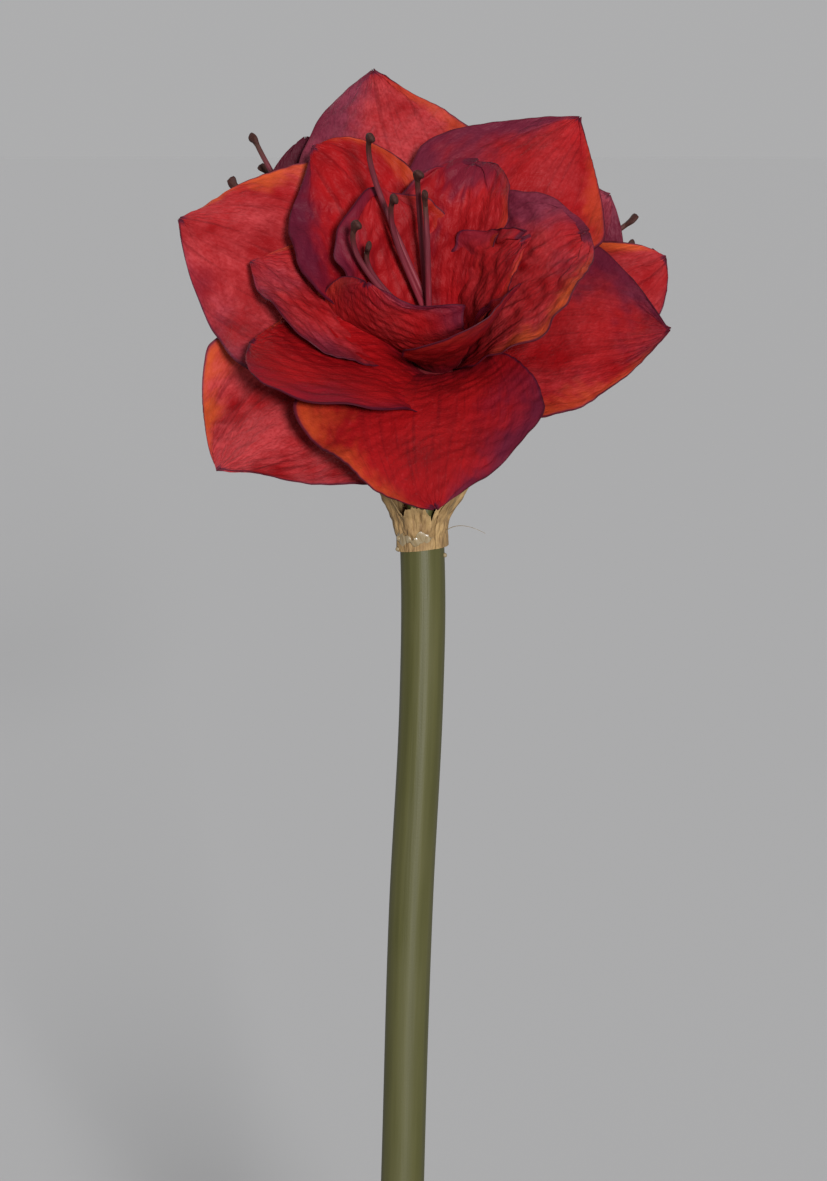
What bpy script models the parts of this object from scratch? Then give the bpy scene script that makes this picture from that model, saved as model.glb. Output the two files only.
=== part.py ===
"""A red double amaryllis with three blooms on one stem, standing in a plain ceramic vase.

Metres, +Z up. The origin is the middle of the vase's foot, and the main bloom faces -Y.
"""

import math
import random
from typing import NamedTuple

import bmesh
import bpy
import numpy as np
from mathutils import Vector

MM = 0.001
GAP = 0.3  # mm kept between pieces that touch

# Vase, in millimetres
VASE_HEIGHT = 200.0
VASE_WALL = 4.5
VASE_FLOOR = 9.0
VASE_SIDES = 28
FOOT_RADIUS = 38.0
BELLY_RADIUS = 56.0
BELLY_HEIGHT = 66.0
NECK_RADIUS = 19.0
NECK_HEIGHT = 150.0  # where the straight neck starts
LIP_RADIUS = 21.5
LIP_START = 182.0  # where the neck starts to flare
RING_HEIGHTS = (0.0, 12.0, 36.0, BELLY_HEIGHT, 88.0, 106.0, 122.0, 138.0, NECK_HEIGHT, LIP_START)

# Scape, the bare flower stem: (x, y, height) of its middle, from its cut end in the vase up
SCAPE_RADIUS = 9.3
SCAPE_KNOTS = 10
SCAPE_PATH = (
    (-3.4, 2.6, VASE_FLOOR + 2 * GAP),
    (-0.2, -0.6, 100.0),
    (2.9, -3.4, 190.0),
    (7.4, -3.6, 338.0),
    (11.7, -3.0, 425.0),
    (12.5, -2.2, 467.0),
    (11.8, -2.0, 500.0),
)

# Spathe, the papery sheath at the top of the scape, in millimetres
SPATHE_FOOT = 487.0
SPATHE_WALL = 0.8
SPATHE_CENTRE = (11.8, -2.0)
SPATHE_SIDES = 30
SPATHE_ROWS = 5
SPATHE_RADII = ((0.0, 10.5), (6.0, 10.5), (13.0, 12.2), (21.0, 15.4), (30.0, 19.5), (42.0, 23.0))
# Its torn upper edge: (degrees round from +X, height above its foot)
SPATHE_EDGE = (
    (-180, 36),
    (-150, 30),
    (-122, 17),
    (-100, 22),
    (-70, 16),
    (-45, 30),
    (-15, 42),
    (30, 30),
    (90, 22),
    (140, 27),
    (180, 36),
)
SPATHE_FOLDS = 9
FOLD_DEPTH = 0.7

# Pedicels, the short stalks from the scape to each bloom, in millimetres
PEDICEL_RADIUS = 3.2
PEDICEL_KNOTS = 7
PEDICEL_SPREAD = 4.5  # from the scape's middle
PEDICEL_SUNK = 3.0  # how far its foot is sunk in the scape
PEDICEL_RISE = 22.0  # how far it goes straight up before it bends
PEDICEL_REACH = 26.0  # how far it runs straight before the ovary
OVARY_RADIUS = 4.8
OVARY_LENGTH = 17.0

PETAL_THICKNESS = 0.7
LEAST_CUP = 0.001  # radians, so that a flat petal has no division by zero

# Throat of each bloom, in millimetres: the petals grow from a short solid tube
TUBE_LENGTH = 22.0
TUBE_TOP_RADIUS = 12.0
TUBE_FOOT_RADIUS = 6.0

# Stamens, in millimetres: they stand on a small hub that rests on the top of the tube
HUB_RADIUS = 4.4
HUB_HEIGHT = 3.0
FILAMENT_RADIUS = 1.2
FILAMENT_KNOTS = 6
FILAMENT_RING = 2.8
ANTHER_RADIUS = 2.1
ANTHER_LENGTH = 8.0


class Bloom(NamedTuple):
    """Where a bloom stands: its throat in millimetres, and the way that its axis points."""

    name: str
    throat: tuple
    heading: float  # degrees from -Y, positive towards +X
    elevation: float  # degrees above the horizon


class Whorl(NamedTuple):
    """A ring of petals: where their roots are sunk in the tube, and how finely they are divided."""

    root_radius: float  # mm
    root_height: float  # mm
    rows: int
    columns: int


class Petal(NamedTuple):
    """One petal in its bloom's own frame: +Z is the axis and azimuth 90 is the bloom's upper side."""

    azimuth: float  # degrees, of the tip
    reach: float  # mm from the axis to the tip
    rise: float  # mm from the throat's foot up to the tip
    width: float  # mm across the widest place
    shoulder: tuple = (0.0, 0.72, 1.0)  # turn in degrees, share of reach, share of rise
    root_turn: float = 0.0  # degrees
    cup: tuple = (55.0, 25.0, 5.0)  # slope in degrees at each edge: root, middle and tip
    roll: float = 0.0  # degrees that the blade turns about its midrib by the tip
    keel: float = 0.0  # height of the fold at the tip, as a share of the half width
    widest: float = 0.6  # share of the length
    point: float = 1.0  # 1 is pointed, 0 is round
    ruffle: float = 0.0  # mm
    lean: float = 0.0  # share by which the side of higher azimuth is wider


class Stamen(NamedTuple):
    """Where a stamen's anther is, in its bloom's own frame."""

    azimuth: float  # degrees
    reach: float  # mm from the axis
    rise: float  # mm from the throat's foot
    bend: float = 0.7  # share of the reach that it has gone out at three quarters of its rise


FRONT = Bloom("front", (19.7, -28.0, 556.4), -6.0, 50.0)
LEFT = Bloom("left", (-1.0, 15.0, 562.0), -150.0, 50.0)
RIGHT = Bloom("right", (27.0, 10.0, 561.0), 115.0, 45.0)

SEPALS = Whorl(9.0, 12.0, 7, 6)
PETALS = Whorl(7.5, 15.0, 7, 6)
MIDDLE = Whorl(8.0, 17.0, 6, 4)
INNER = Whorl(6.5, 19.0, 5, 4)

FRONT_SEPALS = (
    Petal(105, 136, 62, 83, (4, 0.7, 1.0), 1, (55, 21, 4), keel=0.26, point=0.8, lean=-0.03),
    Petal(-9, 97, 52, 91, (-1, 0.85, 0.85), 2, (55, 15, 7), 12, 0.09, widest=0.55, lean=0.08),
    Petal(223, 110, 32, 111, (-3, 0.7, 0.98), -8, (55, 14, 24), 8, 0.18, 0.65, 0.92, lean=0.06),
)
FRONT_PETALS = (
    Petal(59, 107, 71, 88, (1, 0.67, 1.02), 7, (55, 16, -3), 6, 0.24, point=0.94, lean=0.03),
    Petal(-85, 114, 53, 98, (-4, 0.82, 1.07), 1, (50, 11, -3), -7, 0.19, 0.54, 0.84, lean=-0.08),
    Petal(158, 116, 57, 118, (0, 0.68, 1.09), -5, (35, 14, 2), -11, 0.17, 0.46, 0.83, lean=0.03),
)
FRONT_MIDDLE = (
    Petal(130, 82, 79, 67, (-13, 0.75, 0.92), -2, (55, 23, 9), -6, 0.05, 0.49, 0.22, lean=0.27),
    Petal(169, 76, 59, 79, (3, 0.69, 0.95), -8, (55, 41, 21), 12, 0, 0.58, 0.88, lean=0.18),
    Petal(205, 77, 60, 83, (21, 0.7, 0.95), -2, (55, 11, -2), 17, 0, 0.54, 0.03, lean=0.15),
    Petal(17, 65, 73, 84, (-2, 0.66, 0.96), -4, (55, 30, 7), 8, 0, 0.49, 0.08, lean=0.02),
    Petal(-18, 39, 73, 47, (-34, 0.94, 0.87), -33, (60, 58, 21), 26, point=0.83, lean=-0.44),
)
FRONT_INNER = (
    Petal(121, 47, 78, 55, (3, 0.74, 0.94), 3, (55, 22, 6), 5, 0, 0.6, 0.34, 1.5, 0.11),
    Petal(75, 60, 76, 47, (-3, 0.66, 1.07), -1, (55, 35, 9), -6, 0, 0.67, 0.04, 1.5, 0.12),
    Petal(21, 41, 75, 44, (-10, 0.68, 0.98), -4, (55, 31, 9), 4, 0, 0.58, 0.49, 1.5, 0.21),
    Petal(-150, 28, 75, 71, (1, 1.08, 0.69), 39, (55, 28, 24), 6, 0, 0.6, 0.59, 1.0, 0.04),
)
# Tips of the outer petals of the two blooms behind: degrees, mm from the axis, mm of rise
LEFT_SEPALS = ((58, 56, 89), (176, 56, 84), (292, 58, 84))
LEFT_PETALS = ((122, 48, 91), (232, 48, 88), (-2, 48, 88))
RIGHT_SEPALS = ((194, 56, 85), (315, 56, 82), (90, 50, 86))
RIGHT_PETALS = ((156, 47, 89), (252, 42, 87), (20, 46, 88))
BACK_ROWS = 5
FRONT_STAMENS = (
    Stamen(126, 42, 107, bend=1.2),
    Stamen(133, 22, 91, bend=1.4),
    Stamen(102, 27, 94, bend=1.2),
    Stamen(97, 19, 88, bend=0.5),
    Stamen(166, 31, 84, bend=1.2),
    Stamen(162, 27, 72, bend=1.2),
)
LEFT_STAMENS = (
    Stamen(31, 43, 106, bend=0.9),
    Stamen(16, 28, 101),
    Stamen(-7, 37, 103, bend=0.55),
    Stamen(110, 24, 96, bend=0.55),
    Stamen(200, 24, 92, bend=0.5),
    Stamen(270, 28, 98, bend=0.55),
)
RIGHT_STAMENS = (
    Stamen(60, 24, 94, bend=0.55),
    Stamen(125, 20, 90, bend=0.55),
    Stamen(185, 26, 92, bend=0.5),
    Stamen(240, 28, 92, bend=0.55),
    Stamen(300, 30, 98, bend=0.4),
    Stamen(0, 28, 90, bend=0.55),
)


def smooth(x):
    x = np.clip(x, 0.0, 1.0)
    return x * x * (3.0 - 2.0 * x)


def around(azimuth, radius, height):
    """A point from an azimuth in degrees, a distance from the axis and a height along it."""
    a = math.radians(azimuth)
    return np.array([radius * math.cos(a), radius * math.sin(a), height])


def bezier(p0, p1, p2, p3, count):
    """Points evenly spaced along a cubic curve."""
    t = np.linspace(0.0, 1.0, 161)[:, None]
    curve = (1 - t) ** 3 * p0 + 3 * (1 - t) ** 2 * t * p1 + 3 * (1 - t) * t**2 * p2 + t**3 * p3
    return evenly(curve, count)


def evenly(curve, count):
    """The same curve as a number of points at equal steps along it."""
    along = np.concatenate([[0], np.cumsum(np.linalg.norm(np.diff(curve, axis=0), axis=1))])
    even = np.linspace(0.0, along[-1], count)
    return np.stack([np.interp(even, along, curve[:, i]) for i in range(3)], axis=1)


def midrib(petal, whorl, count):
    """Points evenly spaced along the petal's midrib, and the direction of the midrib at each."""
    start = petal.azimuth + petal.root_turn
    root = around(start, whorl.root_radius, whorl.root_height)
    tip = around(petal.azimuth, petal.reach, petal.rise)
    turn, out, up = petal.shoulder
    shoulder = around(petal.azimuth + turn, petal.reach * out, petal.rise * up)
    leave = root + around(start, 0.45, 1.0) * 0.3 * np.linalg.norm(tip - root)
    points = bezier(root, leave, shoulder, tip, count)
    ways = np.gradient(points, axis=0)
    return points, ways / np.linalg.norm(ways, axis=1)[:, None]


def inner_sides(petal, ways):
    """The petal's inner normal at each midrib point, carried along the midrib without twist."""
    normal = -around(petal.azimuth + petal.root_turn, 1.0, 0.0)
    normals = []
    for way in ways:
        normal = normal - way * (normal @ way)
        normal = normal / np.linalg.norm(normal)
        normals.append(normal)
    return np.array(normals)


def outline(petal, t):
    """Half width at share t of the length, as a share of the widest half width."""
    before = np.clip(t / petal.widest, 0, 1)
    after = np.clip((t - petal.widest) / (1 - petal.widest), 0, 1)
    swell = 0.2 + 0.8 * np.sin(before * math.pi / 2) ** 1.1
    power = 2.2 - 1.0 * petal.point
    taper = np.clip(1 - after**power, 0, 1) ** (0.5 + 0.35 * petal.point)
    return np.maximum(swell * taper, 0.02)


def blade(petal, whorl, rows, columns):
    """The petal's surface as a (rows + 1, columns + 1, 3) grid of points in millimetres."""
    points, ways = midrib(petal, whorl, rows + 1)
    normals = inner_sides(petal, ways)
    sides = np.cross(normals, ways)
    t = np.linspace(0.0, 1.0, rows + 1)
    half = outline(petal, t) * petal.width / 2
    cup = np.radians(np.interp(t, [0, 0.5, 1], petal.cup)).clip(LEAST_CUP)
    s = np.linspace(-1.0, 1.0, columns + 1)
    grid = np.zeros((rows + 1, columns + 1, 3))
    for i in range(rows + 1):
        wide = half[i] * (1 + petal.lean * s)
        across = wide * np.sin(cup[i] * s) / cup[i]
        up = wide * (1 - np.cos(cup[i] * s)) / cup[i]
        up = up - petal.keel * half[i] * np.abs(s) * smooth((t[i] - 0.45) / 0.55)
        wave = np.sin(2 * math.pi * (3 * t[i] + 0.31 * s))
        up = up + petal.ruffle * np.abs(s) ** 1.5 * wave * smooth((t[i] - 0.15) / 0.35)
        turn = math.radians(petal.roll) * smooth((t[i] - 0.1) / 0.7)
        side = sides[i] * math.cos(turn) + normals[i] * math.sin(turn)
        normal = normals[i] * math.cos(turn) - sides[i] * math.sin(turn)
        grid[i] = points[i] + across[:, None] * side + up[:, None] * normal
    return grid


def half_open(sepals, petals, turn, seed):
    """A half-open bloom: six outer petals with their tips as given, and two whorls within."""
    draw = random.Random(seed)
    made = []
    for whorl, tips in ((SEPALS, sepals), (PETALS, petals)):
        for azimuth, reach, rise in tips:
            shoulder = (draw.uniform(-6, 6), 0.9, 0.8)
            made.append((whorl, Petal(azimuth, reach, rise, 64, shoulder, keel=0.15, point=0.5)))
    for whorl, count, reach, rise, width in ((MIDDLE, 4, 34, 81, 46), (INNER, 3, 20, 74, 36)):
        for i in range(count):
            petal = Petal(
                turn + 360 * (i + 0.5) / count + draw.uniform(-5, 5),
                reach * draw.uniform(0.92, 1.08),
                rise * draw.uniform(0.95, 1.02),
                width * draw.uniform(0.92, 1.08),
                shoulder=(draw.uniform(-8, 8), 0.9, 0.8),
                point=0.2,
                ruffle=1.2,
            )
            made.append((whorl, petal))
    return [(whorl._replace(rows=BACK_ROWS, columns=4), petal) for whorl, petal in made]


def all_blooms():
    """Each bloom with its petals, as (whorl, petal) pairs, and its stamens."""
    front = [(SEPALS, petal) for petal in FRONT_SEPALS]
    front += [(PETALS, petal) for petal in FRONT_PETALS]
    front += [(MIDDLE, petal) for petal in FRONT_MIDDLE]
    front += [(INNER, petal) for petal in FRONT_INNER]
    left = half_open(LEFT_SEPALS, LEFT_PETALS, 20, seed=4)
    right = half_open(RIGHT_SEPALS, RIGHT_PETALS, 0, seed=7)
    return ((FRONT, front, FRONT_STAMENS), (LEFT, left, LEFT_STAMENS), (RIGHT, right, RIGHT_STAMENS))


def frame_of(bloom):
    """The bloom's throat, and its three axes as the rows of a matrix."""
    heading, elevation = math.radians(bloom.heading), math.radians(bloom.elevation)
    flat = math.cos(elevation)
    axis = np.array([math.sin(heading) * flat, -math.cos(heading) * flat, math.sin(elevation)])
    right = np.array([math.cos(heading), math.sin(heading), 0.0])
    return np.array(bloom.throat), np.stack([right, np.cross(axis, right), axis])


def placed(bloom, points):
    """Points from a bloom's own frame, in world millimetres."""
    throat, axes = frame_of(bloom)
    return throat + points @ axes


def filament(stamen, index, count):
    """Points along a filament, from the hub to its anther, in the bloom's own frame."""
    foot = around(60 * index + 30, FILAMENT_RING, TUBE_LENGTH + GAP + HUB_HEIGHT / 2)
    tip = around(stamen.azimuth, stamen.reach, stamen.rise)
    return bezier(foot, foot + tip / 4, tip * (stamen.bend, stamen.bend, 0.75), tip, count)


def smooth_path(knots, count):
    """A smooth path through the knots, as evenly spaced points."""
    knots = np.array(knots)
    heights = knots[:, 2]
    slopes = np.gradient(knots[:, :2], heights, axis=0)
    z = np.linspace(heights[0], heights[-1], 400)
    k = np.clip(np.searchsorted(heights, z) - 1, 0, len(heights) - 2)
    span = heights[k + 1] - heights[k]
    t = ((z - heights[k]) / span)[:, None]
    span = span[:, None]
    xy = (2 * t**3 - 3 * t**2 + 1) * knots[k, :2] + (t**3 - 2 * t**2 + t) * span * slopes[k]
    xy = xy + (3 * t**2 - 2 * t**3) * knots[k + 1, :2] + (t**3 - t**2) * span * slopes[k + 1]
    return evenly(np.concatenate([xy, z[:, None]], axis=1), count)


def pedicel(bloom):
    """Points along a bloom's stalk, from within the scape to within the ovary."""
    throat, axes = frame_of(bloom)
    top = np.array(SCAPE_PATH[-1])
    outward = (throat - top) * (1, 1, 0)
    start = top + PEDICEL_SPREAD * outward / np.linalg.norm(outward) - (0, 0, PEDICEL_SUNK)
    end = throat - OVARY_LENGTH / 2 * axes[2]
    return bezier(start, start + (0, 0, PEDICEL_RISE), end - PEDICEL_REACH * axes[2], end, PEDICEL_KNOTS)


def vase_profile():
    """The vase's section: along its floor, up the inside, over the lip, and down to the foot."""
    def outer_radius(z):
        if z < BELLY_HEIGHT:
            return FOOT_RADIUS + (BELLY_RADIUS - FOOT_RADIUS) * math.sin(math.pi / 2 * z / BELLY_HEIGHT)
        if z < NECK_HEIGHT:
            share = (z - BELLY_HEIGHT) / (NECK_HEIGHT - BELLY_HEIGHT)
            return NECK_RADIUS + (BELLY_RADIUS - NECK_RADIUS) * (0.5 + 0.5 * math.cos(math.pi * share))
        return NECK_RADIUS + (LIP_RADIUS - NECK_RADIUS) * smooth((z - LIP_START) / (VASE_HEIGHT - LIP_START))

    heights = list(RING_HEIGHTS)
    round_lip = VASE_WALL / 2
    top = VASE_HEIGHT - round_lip
    inside = [(0.0, VASE_FLOOR), (FOOT_RADIUS - 2 * VASE_WALL, VASE_FLOOR)]
    inside += [(outer_radius(z) - VASE_WALL, z) for z in heights[1:] + [top]]
    lip = [
        (LIP_RADIUS - round_lip - round_lip * math.cos(a), top + round_lip * math.sin(a))
        for a in (math.pi * 0.25, math.pi * 0.5, math.pi * 0.75)
    ]
    outside = [(outer_radius(z), z) for z in [top] + heights[::-1]]
    return inside + lip + outside + [(0.0, 0.0)]


def spathe_point(degrees, share):
    """A point on the sheath's middle surface; share runs from its foot to its torn edge."""
    angle = math.radians(degrees)
    height = share * np.interp(degrees, *zip(*SPATHE_EDGE))
    radius = np.interp(height, *zip(*SPATHE_RADII))
    radius += FOLD_DEPTH * math.sin(SPATHE_FOLDS * angle + 0.08 * height) * smooth(height / 20)
    x, y = SPATHE_CENTRE
    return x + radius * math.cos(angle), y + radius * math.sin(angle), SPATHE_FOOT + height


def material(name, colour, roughness):
    """A plain surface for one piece."""
    made = bpy.data.materials.new(name)
    made.use_nodes = True
    shader = made.node_tree.nodes["Principled BSDF"]
    shader.inputs["Base Color"].default_value = (*colour, 1.0)
    shader.inputs["Roughness"].default_value = roughness
    shader.inputs["Metallic"].default_value = 0.0
    return made


def add_object(name, data, collection, surface=None):
    obj = bpy.data.objects.new(name, data)
    if surface:
        data.materials.append(surface)
    collection.objects.link(obj)
    return obj


def mesh_from(bm, name):
    """A mesh in metres from a bmesh in millimetres."""
    bmesh.ops.scale(bm, vec=(MM, MM, MM), verts=bm.verts)
    mesh = bpy.data.meshes.new(name)
    bm.to_mesh(mesh)
    bm.free()
    return mesh


def sheet(place, rows, columns):
    """A bmesh grid whose points are moved to place(row, column)."""
    bm = bmesh.new()
    bmesh.ops.create_grid(bm, x_segments=columns, y_segments=rows, size=0.5)
    for vert in bm.verts:
        row = round((vert.co.y + 0.5) * rows)
        column = round((vert.co.x + 0.5) * columns)
        vert.co = place(row, column)
    return bm


def petal_piece(name, bloom, whorl, petal, collection):
    """One petal: its curved surface, split into triangles and given its thickness."""
    points = placed(bloom, blade(petal, whorl, whorl.rows, whorl.columns).reshape(-1, 3))
    grid = points.reshape(whorl.rows + 1, whorl.columns + 1, 3)
    bm = sheet(lambda row, column: grid[row, column], whorl.rows, whorl.columns)
    bmesh.ops.triangulate(bm, faces=bm.faces)
    obj = add_object(name, mesh_from(bm, name), collection)
    solid = obj.modifiers.new("thickness", "SOLIDIFY")
    solid.thickness = PETAL_THICKNESS * MM
    solid.offset = 0.0
    return obj


def turned_piece(name, place, rings, collection):
    """A closed round piece from (radius, height) rings along +Z, moved by place(points)."""
    bm = bmesh.new()
    bottom, top = rings
    depth = top[1] - bottom[1]
    bmesh.ops.create_cone(
        bm, cap_ends=True, cap_tris=False, segments=16, radius1=bottom[0], radius2=top[0], depth=depth
    )
    middle = (bottom[1] + top[1]) / 2
    for vert in bm.verts:
        vert.co = place(np.array(vert.co) + (0, 0, middle))
    return add_object(name, mesh_from(bm, name), collection)


def egg_piece(name, centre, way, radius, length, collection):
    """A small egg shape about a centre, its long axis along way."""
    bm = bmesh.new()
    bmesh.ops.create_uvsphere(bm, u_segments=6, v_segments=4, radius=1.0)
    turn = Vector((0, 0, 1)).rotation_difference(Vector(way))
    for vert in bm.verts:
        x, y, z = vert.co
        vert.co = turn @ Vector((x * radius, y * radius, z * length / 2)) + Vector(centre)
    return add_object(name, mesh_from(bm, name), collection)


def rod_piece(name, points, radius, fineness, collection):
    """A round rod along the points, with closed ends."""
    curve = bpy.data.curves.new(name, "CURVE")
    curve.dimensions = "3D"
    curve.bevel_depth = radius * MM
    curve.bevel_resolution = fineness
    curve.use_fill_caps = True
    spline = curve.splines.new("POLY")
    spline.points.add(len(points) - 1)
    for knot, point in zip(spline.points, points):
        knot.co = (*(np.array(point) * MM), 1.0)
    rod = add_object(name, curve, collection)
    mesh = bpy.data.meshes.new_from_object(evaluated(rod))
    bm = bmesh.new()
    bm.from_mesh(mesh)
    bmesh.ops.remove_doubles(bm, verts=bm.verts, dist=1e-6)
    bm.to_mesh(mesh)
    bm.free()
    bpy.data.objects.remove(rod)
    return add_object(name, mesh, collection)


def evaluated(obj):
    return obj.evaluated_get(bpy.context.evaluated_depsgraph_get())


def delete_faces(bm, faces):
    bmesh.ops.delete(bm, geom=list(faces), context="FACES_ONLY")
    bmesh.ops.delete(bm, geom=[edge for edge in bm.edges if not edge.link_faces], context="EDGES")
    bmesh.ops.delete(bm, geom=[vert for vert in bm.verts if not vert.link_faces], context="VERTS")


def keep_largest_body(mesh):
    """Drops doubled slivers, loose scraps, and the inner skins of hollows sealed by the joining."""
    bm = bmesh.new()
    bm.from_mesh(mesh)
    bmesh.ops.triangulate(bm, faces=bm.faces)
    by_corners = {}
    for face in bm.faces:
        by_corners.setdefault(frozenset(face.verts), []).append(face)
    delete_faces(bm, [face for pair in by_corners.values() if len(pair) > 1 for face in pair])
    left = set(bm.faces)
    bodies = []
    while left:
        body = [left.pop()]
        for face in body:
            for edge in face.edges:
                found = [other for other in edge.link_faces if other in left]
                left.difference_update(found)
                body.extend(found)
        bodies.append(body)
    largest = max(bodies, key=len)
    delete_faces(bm, [face for body in bodies if body is not largest for face in body])
    bm.to_mesh(mesh)
    bm.free()


def joined(core, pieces, name, collection, surface, solver="EXACT"):
    """The core and the pieces of a collection as one body."""
    union = core.modifiers.new("join", "BOOLEAN")
    union.operation = "UNION"
    union.operand_type = "COLLECTION"
    union.collection = pieces
    union.solver = solver
    mesh = bpy.data.meshes.new_from_object(evaluated(core))
    keep_largest_body(mesh)
    mesh.materials.clear()
    for piece in [core] + list(pieces.objects):
        bpy.data.objects.remove(piece)
    bpy.data.collections.remove(pieces)
    mesh.name = name
    mesh.shade_smooth()
    mesh.set_sharp_from_angle(angle=math.radians(40))
    return add_object(name, mesh, collection, surface)


def scratch(name):
    """A collection for pieces that are to be joined."""
    made = bpy.data.collections.new(name)
    bpy.context.scene.collection.children.link(made)
    return made


def make_vase(collection):
    bm = bmesh.new()
    verts = [bm.verts.new((radius, 0.0, height)) for radius, height in vase_profile()]
    for first, second in zip(verts, verts[1:]):
        bm.edges.new((first, second))
    surface = material("glazed stoneware", (0.62, 0.58, 0.52), 0.45)
    vase = add_object("vase", mesh_from(bm, "vase"), collection, surface)
    screw = vase.modifiers.new("turned", "SCREW")
    screw.steps = VASE_SIDES
    screw.render_steps = VASE_SIDES
    screw.use_merge_vertices = True
    screw.merge_threshold = 0.0001
    screw.use_smooth_shade = True


def make_stem(blooms, collection):
    """The scape, with a stalk and an ovary for each bloom."""
    pieces = scratch("stalks")
    path = smooth_path(SCAPE_PATH, SCAPE_KNOTS)
    scape = rod_piece("scape", path, SCAPE_RADIUS, 6, scratch("scape"))
    for bloom, _, _ in blooms:
        path = pedicel(bloom)
        rod_piece("pedicel_" + bloom.name, path, PEDICEL_RADIUS, 2, pieces)
        throat, axes = frame_of(bloom)
        centre = throat - axes[2] * (OVARY_LENGTH / 2 + GAP)
        egg_piece("ovary_" + bloom.name, centre, axes[2], OVARY_RADIUS, OVARY_LENGTH, pieces)
    joined(scape, pieces, "stem", collection, material("olive stem", (0.16, 0.17, 0.07), 0.4))


def make_spathe(collection):
    def place(row, column):
        return spathe_point(-180 + 360 * column / SPATHE_SIDES, row / SPATHE_ROWS)

    bm = sheet(place, SPATHE_ROWS, SPATHE_SIDES)
    bmesh.ops.remove_doubles(bm, verts=bm.verts, dist=1e-4)
    bmesh.ops.triangulate(bm, faces=bm.faces)
    surface = material("dry papery sheath", (0.5, 0.35, 0.16), 0.8)
    spathe = add_object("spathe", mesh_from(bm, "spathe"), collection, surface)
    solid = spathe.modifiers.new("thickness", "SOLIDIFY")
    solid.thickness = SPATHE_WALL * MM
    solid.offset = 0.0


def make_bloom(bloom, petals, collection, surface):
    """A bloom's tube and its petals, grown together."""
    name = "bloom_" + bloom.name
    pieces = scratch("petals")
    for index, (whorl, petal) in enumerate(petals):
        petal_piece(f"petal_{index}", bloom, whorl, petal, pieces)
    rings = ((TUBE_FOOT_RADIUS, 0.0), (TUBE_TOP_RADIUS, TUBE_LENGTH))
    tube = turned_piece("tube", lambda point: placed(bloom, point), rings, scratch("tube"))
    joined(tube, pieces, name, collection, surface, solver="MANIFOLD")


def make_stamens(bloom, stamens, collection, surface):
    """A bloom's filaments with their anthers, on the small hub that they grow from."""
    pieces = scratch("filaments")
    for index, stamen in enumerate(stamens):
        path = placed(bloom, filament(stamen, index, FILAMENT_KNOTS))
        rod_piece(f"filament_{index}", path, FILAMENT_RADIUS, 1, pieces)
        way = (path[-1] - path[-2]) / np.linalg.norm(path[-1] - path[-2])
        egg_piece(f"anther_{index}", path[-1] + way, way, ANTHER_RADIUS, ANTHER_LENGTH, pieces)
    foot = TUBE_LENGTH + GAP
    rings = ((HUB_RADIUS, foot), (HUB_RADIUS, foot + HUB_HEIGHT))
    hub = turned_piece("hub", lambda point: placed(bloom, point), rings, scratch("hub"))
    joined(hub, pieces, "stamens_" + bloom.name, collection, surface)


def clear_scene():
    for obj in list(bpy.data.objects):
        bpy.data.objects.remove(obj)
    for collection in list(bpy.data.collections):
        bpy.data.collections.remove(collection)


def main():
    clear_scene()
    collection = scratch("amaryllis in vase")
    blooms = all_blooms()
    make_vase(collection)
    make_stem(blooms, collection)
    make_spathe(collection)
    red = material("red petals", (0.36, 0.02, 0.025), 0.55)
    dark = material("dark stamens", (0.13, 0.03, 0.04), 0.5)
    for bloom, petals, stamens in blooms:
        make_bloom(bloom, petals, collection, red)
        make_stamens(bloom, stamens, collection, dark)
    for empty in [other for other in bpy.data.collections if not other.objects]:
        bpy.data.collections.remove(empty)


if __name__ == "__main__":
    main()
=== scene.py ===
"""The looks of a red double amaryllis in a vase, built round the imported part.

Metres, +Z up, and the open bloom faces -Y. Sizes are in millimetres up to where a mesh is made.
"""

import math
import random
from typing import NamedTuple

import bpy
import numpy as np
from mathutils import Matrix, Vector


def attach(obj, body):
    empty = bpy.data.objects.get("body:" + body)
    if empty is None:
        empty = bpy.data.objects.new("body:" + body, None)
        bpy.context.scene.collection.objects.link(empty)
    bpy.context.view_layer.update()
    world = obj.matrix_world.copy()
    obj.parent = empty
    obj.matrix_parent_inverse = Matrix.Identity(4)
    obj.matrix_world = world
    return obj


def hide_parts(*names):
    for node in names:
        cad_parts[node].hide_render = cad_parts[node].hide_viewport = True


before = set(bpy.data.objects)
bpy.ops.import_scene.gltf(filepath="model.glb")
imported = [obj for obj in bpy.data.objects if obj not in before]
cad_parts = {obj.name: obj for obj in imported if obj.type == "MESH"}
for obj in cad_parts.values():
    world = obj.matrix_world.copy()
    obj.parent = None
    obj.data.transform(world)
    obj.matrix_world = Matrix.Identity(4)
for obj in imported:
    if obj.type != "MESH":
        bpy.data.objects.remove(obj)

MM = 0.001
TURN = 2 * math.pi
GAP = 0.3  # mm kept between pieces that touch
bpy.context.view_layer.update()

# Sizes of the part, in millimetres and degrees round from +X
VASE_HEIGHT = 200.0
VASE_WALL = 4.5
VASE_FLOOR = 9.0
FOOT_RADIUS = 38.0
BELLY_RADIUS = 56.0
BELLY_HEIGHT = 66.0
NECK_RADIUS = 19.0
NECK_HEIGHT = 150.0
LIP_RADIUS = 21.5
LIP_START = 182.0
SCAPE_RADIUS = 9.3
# (x, y, height) of the scape's middle
SCAPE_PATH = (
    (-3.4, 2.6, VASE_FLOOR + 2 * GAP),
    (-0.2, -0.6, 100.0),
    (2.9, -3.4, 190.0),
    (7.4, -3.6, 338.0),
    (11.7, -3.0, 425.0),
    (12.5, -2.2, 467.0),
    (11.8, -2.0, 500.0),
)
SPATHE_FOOT = 487.0
SPATHE_CENTRE = (11.8, -2.0)
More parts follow.
